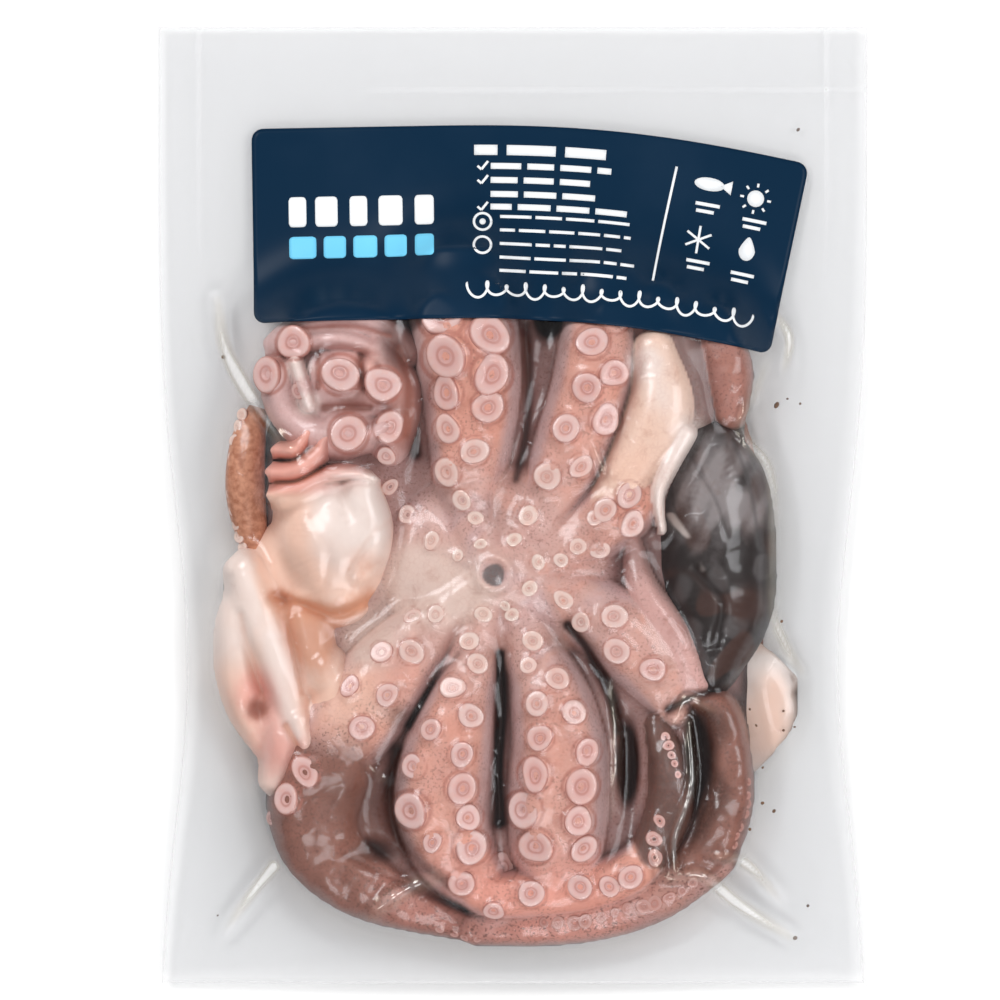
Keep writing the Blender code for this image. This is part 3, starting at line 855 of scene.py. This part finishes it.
curl = dict(
    soft=[
        lobe([(-56, 34), (-52, 36)], [23, 22], [30, 31]),
        lobe([(-38, 18), (-36, 34), (-42, 48)], [8, 10, 8], [31, 33, 31]),
        lobe([(-72, 40), (-69, 28), (-57, 21), (-46, 22)], [8, 8, 9, 8], [29, 31, 33, 34]),
        lobe([(-72, 50), (-58, 57), (-42, 56), (-32, 47)], [7, 8, 8, 6], [26, 30, 31, 28])],
    firm=[
        lobe([(-68, 50), (-52, 51), (-40, 47)], [5, 5, 4], [31, 33, 31]),
        lobe([(-67, 44), (-65, 38), (-63, 31)], [4, 4.2, 4.5], [34, 34.5, 34]),
        lobe([(-58, 42), (-50, 38)], [8, 7], [34, 35]),
        lobe([(-44, 42), (-38, 34)], [6, 6], [35, 35]),
        lobe([(-54, 24), (-48, 21), (-40, 24)], [7, 6, 5], [35, 35.5, 35])],
    cuts=[([(-58, 30), (-50, 30), (-44, 30)], 1.3, 2.2), ([(-60, 36), (-60, 46)], 1.1, 1.8),
          ([(-46, 36), (-47, 46)], 1.0, 1.8), ([(-66, 54), (-50, 55), (-38, 52)], 0.9, 1.2),
          ([(-62, 60), (-48, 60)], 0.9, 1.0), ([(-33, 22), (-32, 36), (-35, 48)], 1.6, 2.0)],
    cups=[(-67.5, 50, 5.2), (-76, 40, 5.6), (-66, 35, 2.6), (-53, 40, 6.0), (-40, 37, 5.4), (-50.5, 22, 5.8),
          (-38, 24, 4.8), (-39, 15, 3.2)])


def makeCurl():
    def masks(x, y, height):
        # rust gives the right side its red-brown skin; dusk darkens its upper right as painted shade
        return height + 0.5 * wobble(x, y, 5, 71), dict(
            rust=smoothStep(-42, -35, x) * smoothStep(10, 22, y) + 0.6 * hill(x, y, (-50, 30), 5),
            dusk=smoothStep(-46, -36, x) * smoothStep(34, 48, y),
            milk=hills(x, y, [(1.2, (-66, 42), 4.0), (1.2, (-63, 31), 4.0)]),
            mauve=smoothStep(48, 58, y) * 0.8,
            salmon=hills(x, y, [(0.9, (-45, 40), 10), (0.6, (-70, 45), 7)]))
    shape = groupShape([(curl["soft"], 2.0), (curl["firm"], 1.0)], masks, cups=curl["cups"],
                       cuts=curl["cuts"])
    piece = reliefPiece("armCurled", (-90, 6), (-24, 74), 0.6, shape, edge=12, under=5)
    # cut and shade are painted shade, darkening the creases in rust and crease colours
    layers = [("salmon", "oral", 0.5), ("mauve", "mauve", 0.35), ("rust", "rust", 0.7), ("dusk", "dusk", 0.7),
              ("milk", "milk", 0.8), ("groove", "groove", 0.7), ("cut", "rust", 0.7),
              ("shade", "creaseShade", 0.4)]
    wear(piece, fleshFinish("curlSkin", "cup", layers, freckles=0.1, stains=0.15))


tip = dict(route=[(-79, 30, 13), (-82, 20, 14), (-83, 6, 14), (-81.5, -6, 13), (-79, -15, 12)],
           radii=[3.0, 5.4, 6.2, 5.4, 3.4], beads=10)


def makeTip():
    bm = tubePiece([Vector(point) * mm for point in tip["route"]], [radius * mm for radius in tip["radii"]])
    bmesh.ops.recalc_face_normals(bm, faces=list(bm.faces))
    piece = finishMesh("armTip", bm)
    finish = Finish("tipSkin")
    mottle = finish.noise(420, 4, 0.6)
    colour = finish.mix(mottle.above(0.3, 0.7), (0.42, 0.16, 0.085), (0.66, 0.33, 0.21))
    wear(piece, finish.surface({"Base Color": colour, "Roughness": 0.42, "Specular IOR Level": 0.35,
                                "Normal": finish.bump(mottle, 0.1, 0.0003)}))


def joinedTree(pieces):
    bm = bmesh.new()
    for piece in pieces:
        bm.from_mesh(piece.data)
    tree = BVHTree.FromBMesh(bm)
    bm.free()
    return tree


def shownPieces():
    return [obj for obj in bpy.data.objects if obj.type == "MESH" and obj.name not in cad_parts]


makeCore()
makeCrown()
print("crown and arms made")
makeMantle()
makeDark()
makePocket()
makeCurl()
makeTip()
print("mantle and curled arm made")
wear(finishMesh("suckers", makeCups(joinedTree([bpy.data.objects["armsAndCrown"]]), cupPlaces(), 11)),
     cupFinish("cupSkin"))

# beads on the arms' thin ends: a route, their radius, how far apart and how brown they are
beadRows = [([(46.5, -70), (49, -76), (51, -83)], 1.4, 3.0, 0.1),
            ([(46, -94), (43, -102), (44, -110)], 2.4, 6.0, 0.25),
            ([(-24, -131), (-16, -134), (-8, -134.5)], 1.5, 3.9, 0.5),
            ([(58, -116), (48, -121), (36, -125), (20, -128.5), (6, -129.5)], 2.1, 4.4, 0.5),
            ([(73, -84), (72, -94), (68, -106)], 1.2, 3.4, 0.65)]


def makeOuterCups():
    tree = joinedTree(shownPieces())
    places = list(curl["cups"])
    for row in beadRows:
        places += beadsAlong(*row)
    bm = makeCups(tree, places, 5)
    unit = cupUnit()
    rng = random.Random(6)
    line = smoothRoute(tip["route"], 10)
    for i in range(tip["beads"]):
        x, y, z = line[int((i + 0.5) / tip["beads"] * (len(line) - 1))]
        addCup(bm, unit, Vector((x - 4.4, y, z + 3.0)) * mm, Vector((-0.6, 0.0, 0.8)), 1.9 * mm, rng, 0.0)
    return finishMesh("suckersOuter", bm)


wear(makeOuterCups(), cupFinish("outerCupSkin"))
print("suckers made")


# bridge is how many times the film is drawn tight over the food, sag is how far it sinks each time
filmSet = dict(cell=0.92, bridge=220, sag=0.035, labelSag=0.003, clearance=0.15, foodCentre=(-2, -29),
               foodReach=(84, 107), flangeEdge=3.0, flangeFood=8.5, fall=17.0, sidePull=9.0, pullAt=-50.0,
               pullReach=68.0, backLevel=0.3, backCell=3)


def flangeLevel(x, y):
    share = outlineShare(x, y, filmSet["foodCentre"], filmSet["foodReach"])
    outside = np.maximum(share - 1, 0) * filmSet["foodReach"][0]
    level = lerp(filmSet["flangeEdge"], filmSet["flangeFood"], np.exp(-outside / filmSet["fall"]))
    return level + 0.35 * wobble(x, y, 26, 81), share


def filmPlan():
    # u and v run from -1 to 1 across and along the pouch
    across = round(2 * pouchHalfWidth / mm / filmSet["cell"])
    along = round(2 * pouchHalfLength / mm / filmSet["cell"])
    u, v = np.meshgrid(np.linspace(-1, 1, across + 1), np.linspace(-1, 1, along + 1))
    y = v * pouchHalfLength / mm
    pull = filmSet["sidePull"] * np.exp(-((y - filmSet["pullAt"]) / filmSet["pullReach"]) ** 2)
    x = u * (pouchHalfWidth / mm - pull) + pouchMiddle.x / mm
    return u, v, x, y + pouchMiddle.y / mm


def contentHeight(x, y):
    tree = joinedTree(shownPieces())
    heights = np.zeros(x.size)
    down = Vector((0, 0, -1))
    for i, (px, py) in enumerate(zip(x.ravel(), y.ravel())):
        hit = tree.ray_cast(Vector((px * mm, py * mm, 0.08)), down)
        if hit[0] is not None:
            heights[i] = hit[0].z / mm
    return heights.reshape(x.shape)


# folds and tents of the film: route, height above what lies there, half width
folds = [
    dict(route=[(-92, 64), (-90, 50), (-84, 38), (-74, 24), (-65, 13)], rise=[1, 2.5, 4, 3, 0.5], width=3.2),
    dict(route=[(-90, -133), (-82, -122), (-74, -112)], rise=[0.5, 2.5, 4], width=2.5),
    dict(route=[(-44, -127), (-36, -120), (-24, -115)], rise=[1, 4, 1.5], width=4.0),
    dict(route=[(43, -107), (48, -115), (58, -114), (70, -124), (87, -135)], rise=[1, 2, 3, 3.5, 1.0],
         width=2.8),
    dict(route=[(61, -108), (72, -111), (84, -124)], rise=[1, 3, 0.5], width=2.6),
    dict(route=[(62, -64), (54, -60), (50, -66)], rise=[1, 3, 1], width=3.0),
    dict(route=[(80, 62), (86, 52), (84, 40)], rise=[0.5, 3, 0.5], width=2.2),
    dict(route=[(80, 46), (71, 27), (72, 20), (80, 8), (80, -29), (84, -42), (90, -52)],
         rise=[0.5, 2.5, 3, 2.5, 2, 2.5, 1], width=2.6),
    dict(route=[(54, -67), (55, -86), (50, -102), (50, -113)], rise=[2, 4, 4, 2], width=2.2),
    dict(route=[(30, -55), (32, -75), (31, -96)], rise=[1, 3, 1.5], width=2.4),
    dict(route=[(24, 20), (27, 12), (29, 9)], rise=[0.5, 1.8, 0.4], width=1.5),
    dict(route=[(3, -9), (7, -14), (8, -20)], rise=[0.2, 0.7, 0.2], width=1.6),
    dict(route=[(-22, -14), (-15, -17), (-12, -23)], rise=[0.2, 0.6, 0.2], width=1.6),
    dict(route=[(-47, -76), (-41, -84), (-37, -85)], rise=[0.3, 1.4, 0.3], width=1.8)]


def foldRise(x, y):
    total = np.zeros_like(x)
    for fold in folds:
        lobe = dict(route=fold["route"], width=[fold["width"]] * len(fold["route"]), crest=fold["rise"])
        found = alongLobe(x, y, lobe)
        total = np.maximum(total, found["crest"] * np.clip(1 - found["off"], 0, 1))
    return total


def makeFilm():
    u, v, x, y = filmPlan()
    content = contentHeight(x, y)
    padded = np.pad(content, 1, mode="edge")
    content = np.maximum(content, np.maximum.reduce([padded[:-2, 1:-1], padded[2:, 1:-1], padded[1:-1, :-2],
                                                     padded[1:-1, 2:]]) - 0.35)
    flange, share = flangeLevel(x, y)
    floor = np.maximum(content + filmSet["clearance"], flange)
    floor = np.where(content > 1, floor, flange)
    height = floor.copy()
    # the stiff label keeps the film from sinking between the arms
    stiff = smoothStep(92, 80, np.abs(x)) * smoothStep(38, 52, y + 0.08 * x)
    sag = lerp(filmSet["sag"], filmSet["labelSag"], stiff)
    for i in range(filmSet["bridge"]):
        height = np.maximum(floor, blur(height, 1) - sag)
    rise = foldRise(x, y)
    height = height + rise
    food = (content > flange + 0.5).astype(float)
    haze = np.clip(1.0 - blur(food, 2), 0, 1)
    # welded lines near the side edges and across the top, then the pouch's cut edge
    rim = 0.7 * np.exp(-((np.abs(u) - 0.886) / 0.007) ** 2) * smoothStep(0.3, 0.9, v) \
        + 0.7 * np.exp(-((v - 0.868) / 0.005) ** 2) * smoothStep(0.0, 0.5, wobble(x, y, 18, 83) + 0.5)
    inside = np.minimum((1 - np.abs(u)) * pouchHalfWidth, (1 - np.abs(v)) * pouchHalfLength) / mm
    border = np.exp(-(inside / 0.7) ** 2)
    fields = dict(haze=haze, fold=np.clip(rise / 3.0, 0, 1), edge=rim, border=border,
                  near=np.clip(blur(food, 60) * 2 * haze, 0, 1))
    bm = laidGrid(x, y, height, mm)
    bmesh.ops.recalc_face_normals(bm, faces=list(bm.faces))
    front = finishMesh("filmFront", bm, {key: value.ravel() for key, value in fields.items()})
    return front, (x, y, height, flange, share)


def filmFinish(name):
    finish = Finish(name)
    haze = finish.field("haze")
    near = finish.field("near")
    fold = finish.field("fold")
    # few octaves and no distortion, because every ray passes the film several times
    streak = finish.noise(14, 2, 0.6, 0.0, (1.0, 0.5, 1.0))
    soft = finish.noise(40, 1, 0.5)
    line = (finish.noise(85, 1, 0.45) - 0.5).math("ABSOLUTE", 0.0)
    crinkle = (1 - line.above(0.0, 0.035)) * (1 - haze)
    edge = finish.field("edge")
    border = finish.field("border")
    colour = finish.mix(near * 0.8, (0.80, 0.81, 0.84), (0.83, 0.80, 0.72))
    colour = finish.mix(edge.clamped(), colour, (0.97, 0.97, 0.98))
    # folds: the lower parts are painted dark beige for the folds' dark lines and juice, painted shade with a
    # juice tint; the crests are painted near-white as painted glints
    colour = finish.mix(fold.above(0.05, 0.4), colour, (0.58, 0.54, 0.47))
    colour = finish.mix(fold.above(0.6, 0.9), colour, (0.93, 0.92, 0.90))
    colour = finish.mix(border, colour, (0.62, 0.62, 0.63))
    fresnel = finish.add("ShaderNodeFresnel", {}, {"IOR": 1.5})
    veil = haze * (0.032 + (streak - 0.5) * 0.07 + near * 0.02) + fold * (haze * 0.35 + 0.18) + edge * 0.2 \
        + border * 0.35 + 0.003
    clear = (veil + fresnel * 0.72).clamped()
    return finish.surface({"Base Color": colour, "Metallic": (1 - haze * 0.85 - fold * 0.2).clamped(),
                           "Roughness": 0.16 + haze * 0.16, "Specular IOR Level": 0.5,
                           "Normal": finish.bump(soft + crinkle * 0.35, 0.16, 0.0015)}, clear)


def makeBack(plan):
    x, y, height, flange, share = plan
    low = filmSet["backLevel"] + (flange - 0.5) * smoothStep(0.90, 1.03, share)
    low = np.where((np.abs(x) >= np.abs(x).max(1, keepdims=True) - 1e-6), flange, low)
    # a coarser grid than the front's, with the same outer rows and columns
    rows, columns = (sorted({*range(0, size, filmSet["backCell"]), size - 1}) for size in x.shape)
    x, y, low, share = (field[np.ix_(rows, columns)] for field in (x, y, low, share))
    bm = laidGrid(x, y, low, mm)
    bmesh.ops.recalc_face_normals(bm, faces=list(bm.faces))
    bmesh.ops.reverse_faces(bm, faces=list(bm.faces))
    haze = smoothStep(0.98, 1.04, share)
    zero = np.zeros_like(x)
    return finishMesh("filmBack", bm, dict(haze=haze.ravel(), near=zero.ravel(), fold=zero.ravel(),
                                           edge=zero.ravel(), border=zero.ravel()))


def makeSpecks(plan):
    # dried brown specks caught in the flange
    x, y, height, flange, share = plan
    rng = random.Random(12)
    spots = [(-90, 46, 1.0), (82, 31, 1.5), (85.5, 33, 0.6), (89.5, 31.5, 0.6), (83, -36, 0.7),
             (77, -92, 0.8),
             (81, -95, 0.9), (73, -100, 0.7), (92, -125, 0.7), (88, -135, 1.0), (73, -63, 0.6),
             (75, -68, 0.7),
             (84, -70, 0.6), (87.5, -69, 0.6), (84, -64, 0.5), (77, -81, 0.6), (89, 117, 0.9),
             (-92, -128, 0.5)]
    bm = bmesh.new()
    for px, py, radius in spots:
        level = height[np.argmin(np.abs(y[:, 0] - py)), np.argmin(np.abs(x[0] - px))] - 0.5
        spin = Matrix.Rotation(rng.uniform(0, math.tau), 4, "Z")
        shape = Matrix.Diagonal((radius * 0.75 * mm, radius * rng.uniform(0.45, 0.75) * mm, 0.3 * mm, 1))
        bmesh.ops.create_icosphere(bm, subdivisions=2, radius=1.0,
                                   matrix=Matrix.Translation((px * mm, py * mm, level * mm)) @ spin @ shape)
    finish = Finish("speckBrown")
    tone = finish.mix(finish.noise(500, 2, 0.5), (0.05, 0.022, 0.010), (0.20, 0.10, 0.05))
    wear(finishMesh("specks", bm), finish.surface({"Base Color": tone, "Roughness": 0.5}))


front, plan = makeFilm()
makeSpecks(plan)
film = filmFinish("clearFilm")
wear(front, film)
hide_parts("sealed_bag")
back = wear(makeBack(plan), film)
print("film made")


labelSet = dict(length=168.0, width=61.0, corner=3.7, start=(-81.0, 86.7), turns=(1.0, -12.0), lift=0.12,
                thick=0.22,
                ink=0.08)


def labelPlace(share, across):
    # the middle line starts level and swings down towards the right
    def turnAt(part):
        return math.radians(lerp(*labelSet["turns"], smoothStep(0.3, 1.0, part)))
    steps = 24
    step = share * labelSet["length"] / steps
    x, y = labelSet["start"]
    for i in range(steps):
        turn = turnAt(share * (i + 0.5) / steps)
        x, y = x + math.cos(turn) * step, y + math.sin(turn) * step
    turn = turnAt(share)
    return x - math.sin(turn) * across, y + math.cos(turn) * across


filmTree = joinedTree([front])


def onFilm(x, y, lift):
    hit = filmTree.ray_cast(Vector((x * mm, y * mm, 0.1)), Vector((0, 0, -1)))
    return (hit[0].z if hit[0] is not None else 0.003) + lift * mm


def drapedShape(bm, lift, thick):
    # gives a flat shape round the label's middle a thickness, then lays it on the film
    top = set(bm.verts)
    bmesh.ops.extrude_face_region(bm, geom=list(bm.faces))
    for vert in bm.verts:
        x, y = labelPlace(vert.co.x / labelSet["length"] + 0.5, vert.co.y)
        z = onFilm(x, y, lift + (thick if vert in top else 0))
        vert.co = (x * mm, y * mm, z)


def roundCorners(verts, halfLong, halfWide, corner):
    # presses the corners of a flat grid round the origin onto a rounder outline
    for vert in verts:
        inset = Vector((abs(vert.co.x) - halfLong + corner, abs(vert.co.y) - halfWide + corner))
        if inset.x > 0 and inset.y > 0:
            scale = max(inset.x, inset.y) / inset.length
            vert.co.x = math.copysign(halfLong - corner + inset.x * scale, vert.co.x)
            vert.co.y = math.copysign(halfWide - corner + inset.y * scale, vert.co.y)


def makeLabel():
    bm = bmesh.new()
    bmesh.ops.create_grid(bm, x_segments=112, y_segments=42, size=0.5)
    for vert in bm.verts:
        vert.co.x *= labelSet["length"]
        vert.co.y *= labelSet["width"]
    roundCorners(bm.verts, labelSet["length"] / 2, labelSet["width"] / 2, labelSet["corner"])
    drapedShape(bm, labelSet["lift"], labelSet["thick"])
    bmesh.ops.recalc_face_normals(bm, faces=list(bm.faces))
    return finishMesh("label_sheet", bm)


def labelFinish(name, colour, rough=0.32):
    finish = Finish(name)
    soft = finish.noise(30, 3, 0.5)
    tone = finish.mix(soft.above(0.45, 0.75) * 0.12, colour, tuple(min(1.0, part * 1.5 + 0.02)
                                                                   for part in colour))
    return finish.surface({"Base Color": tone, "Roughness": rough + (soft - 0.5) * 0.12,
                           "Specular IOR Level": 0.08,
                           "Normal": finish.bump(soft, 0.06, 0.001)})


labelPiece = wear(makeLabel(), labelFinish("labelBlue", (0.0018, 0.017, 0.042)))
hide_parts("label")
print("label made")


# marks on the label, in millimetres from its middle: kind, place, sizes
def words(left, right, level, tall, seed):
    # a line of plain bars of uneven length
    rng = random.Random(seed)
    bars = []
    at = left
    while at < right - 2:
        long = min(rng.uniform(4.5, 13.0) * (0.6 + tall / 5), right - at)
        bars.append(("bar", at + long / 2, level, long, tall))
        at += long + 0.7 * tall + 0.5
    return bars


def printMarks():
    white = [("block", u, 4.2, long, 9.4) for u, long in ((-70, 5.5), (-61, 7), (-51, 5.5), (-41, 7.5),
                                                          (-30.5, 6))]
    blue = [("block", u, -7.0, long, 7.0) for u, long in ((-68.5, 8.5), (-58.5, 7), (-49, 7.5), (-39.5, 7),
                                                          (-30.5, 6))]
    white += words(-15, 24, 22.8, 3.2, 1)
    for row, (right, level) in enumerate(((26, 17.8), (20, 13.4), (22, 9.0), (32, 5.0))):
        white += words(-10, right, level, 1.9, 10 + row)
        if row != 2:
            white += [("line", -14, level, -12.8, level - 1.1),
                      ("line", -12.8, level - 1.1, -10.8, level + 1.5)]
    white += [("ring", -12.4, 0.2, 2.7, 0.8), ("disc", -12.4, 0.2, 1.0), ("ring", -12.4, -7.4, 2.7, 0.8)]
    for row, level in enumerate((1.9, -2.4, -6.8, -11.2, -15.4)):
        white += words(-7, 36 - 2 * (row % 3), level, 1.0, 20 + row)
    white += [("line", 45.0, 22.0, 42.5, -15.0)]
    # a flake, a fish, a drop and a sun, each with two short bars under it
    for turn in range(3):
        angle = math.radians(60 * turn + 30)
        white += [("line", 55 - 4.4 * math.cos(angle), 0.5 - 4.4 * math.sin(angle),
                   55 + 4.4 * math.cos(angle), 0.5 + 4.4 * math.sin(angle))]
    white += [("disc", 70, 16.5, 2.6), ("sun", 70, 16.5, 4.8), ("leaf", 55.5, 18.2, 4.6),
              ("tail", 61, 18.2, 2.2),
              ("drop", 70.5, 0.0, 3.2)]
    for u, level in ((56, 11.8), (71, 9.6), (56, -6.4), (70.5, -7.6)):
        white += [("bar", u, level, 7.5, 1.1), ("bar", u - 0.5, level - 2.2, 5.5, 1.1)]
    white += [("script", -17, 76, -21.5, 2.6)]
    return {"printWhite": white, "printBlue": blue}


def polyFaces(bm, outline):
    return bm.faces.new([bm.verts.new((u, v, 0)) for u, v in outline])


def stripFaces(bm, points, width):
    # a ribbon of quads along a line
    points = np.array(points, float)
    ahead = np.gradient(points, axis=0)
    ahead /= np.hypot(ahead[:, 0], ahead[:, 1])[:, None]
    side = np.stack([-ahead[:, 1], ahead[:, 0]], 1) * width / 2
    pairs = [(bm.verts.new((*(point + off), 0)), bm.verts.new((*(point - off), 0))) for point,
             off in zip(points, side)]
    for (a, b), (c, d) in zip(pairs[:-1], pairs[1:]):
        bm.faces.new((a, b, d, c))


def addMark(bm, mark):
    kind, u, v = mark[0], mark[1], mark[2]
    circle = [(math.cos(t), math.sin(t)) for t in np.linspace(0, math.tau, 20, endpoint=False)]
    if kind == "block":
        place = Matrix.Translation((u, v, 0)) @ Matrix.Diagonal((mark[3], mark[4], 1, 1))
        made = bmesh.ops.create_grid(bm, x_segments=7, y_segments=8, size=0.5, matrix=place)
        for vert in made["verts"]:
            vert.co -= Vector((u, v, 0))
        roundCorners(made["verts"], mark[3] / 2, mark[4] / 2, 1.2)
        for vert in made["verts"]:
            vert.co += Vector((u, v, 0))
    elif kind == "bar":
        steps = max(2, int(mark[3] / 1.5) + 1)
        stripFaces(bm, [(u - mark[3] / 2 + mark[3] * i / (steps - 1), v) for i in range(steps)], mark[4])
    elif kind == "line":
        stripFaces(bm, [(lerp(u, mark[3], t), lerp(v, mark[4], t)) for t in np.linspace(0, 1, 8)], 0.75)
    elif kind == "disc":
        polyFaces(bm, [(u + mark[3] * c, v + mark[3] * s) for c, s in circle])
    elif kind == "ring":
        stripFaces(bm, [(u + mark[3] * math.cos(t), v + mark[3] * math.sin(t))
                        for t in np.linspace(0, math.tau, 25)],
                   mark[4])
    elif kind == "sun":
        for turn in range(8):
            t = math.tau * turn / 8
            stripFaces(bm, [(u + r * math.cos(t), v + r * math.sin(t)) for r in (0.75 * mark[3], mark[3])],
                       0.7)
    elif kind == "leaf":
        polyFaces(bm, [(u + mark[3] * c, v + 0.45 * mark[3] * s) for c, s in circle])
    elif kind == "tail":
        polyFaces(bm, [(u - mark[3], v), (u + mark[3] * 0.6, v + mark[3]), (u + mark[3] * 0.6, v - mark[3])])
    elif kind == "drop":
        polyFaces(bm, [(u + mark[3] * 0.8 * c * (1 - 0.5 * max(0.0, s)), v + mark[3] * s
                        * (1.35 if s > 0 else 1.0))
                       for c, s in circle])
    elif kind == "script":
        # one long looping line
        points = []
        for t in np.linspace(0, 1, 420):
            phase = t * math.tau * 15
            points.append((lerp(u, v, t) - 1.5 * math.sin(phase),
                           mark[3] + mark[4] * math.cos(phase) * (0.75 + 0.25 * math.sin(phase * 0.37))))
        stripFaces(bm, points, 0.8)


def makePrint():
    for name, marks in printMarks().items():
        bm = bmesh.new()
        for mark in marks:
            addMark(bm, mark)
        bmesh.ops.recalc_face_normals(bm, faces=list(bm.faces))
        for face in bm.faces:
            if face.normal.z < 0:
                face.normal_flip()
        drapedShape(bm, labelSet["lift"] + labelSet["thick"] + 0.02, labelSet["ink"])
        bmesh.ops.recalc_face_normals(bm, faces=list(bm.faces))
        colour = (0.78, 0.80, 0.82) if name == "printWhite" else (0.16, 0.56, 0.82)
        wear(finishMesh(name, bm), labelFinish(name + "Ink", colour))


makePrint()
print("print made")


stageSet = dict(distance=2.0, view=0.310, aim=(-0.004, 0.0015, 0.0), key=14.0, fill=10.0, low=9.0, world=0.5)


def makeStage():
    bm = bmesh.new()
    bmesh.ops.create_grid(bm, x_segments=1, y_segments=1, size=3.0)
    floor = finishMesh("floor", bm)
    finish = Finish("paleFloor")
    floor.data.materials.append(finish.surface({"Base Color": (0.83, 0.83, 0.83), "Roughness": 0.9,
                                                "Specular IOR Level": 0.1}))
    scene = bpy.context.scene
    world = bpy.data.worlds.new("studio")
    world.use_nodes = True
    world.node_tree.nodes["Background"].inputs["Color"].default_value = (1, 1, 1, 1)
    world.node_tree.nodes["Background"].inputs["Strength"].default_value = stageSet["world"]
    scene.world = world
    for name, place, size, power in (("keyLamp", (-0.8, 0.8, 1.25), 0.7, stageSet["key"]),
                                     ("fillLamp", (0.95, 0.2, 1.2), 0.8, stageSet["fill"]),
                                     ("lowLamp", (0.1, -1.0, 1.2), 0.8, stageSet["low"])):
        lamp = bpy.data.lights.new(name, "AREA")
        lamp.energy = power
        lamp.size = size
        holder = bpy.data.objects.new(name, lamp)
        scene.collection.objects.link(holder)
        holder.location = place
        holder.rotation_euler = (Vector((0, 0, 0)) - Vector(place)).to_track_quat("-Z", "Y").to_euler()
    lens = bpy.data.cameras.new("camera")
    lens.sensor_width = 36.0
    lens.lens = 36.0 * (stageSet["distance"] - 0.015) / stageSet["view"]
    camera = bpy.data.objects.new("camera", lens)
    scene.collection.objects.link(camera)
    camera.location = Vector(stageSet["aim"]) + Vector((0, 0, stageSet["distance"]))
    scene.camera = camera
    scene.view_settings.view_transform = "Standard"


makeStage()
print("stage made")
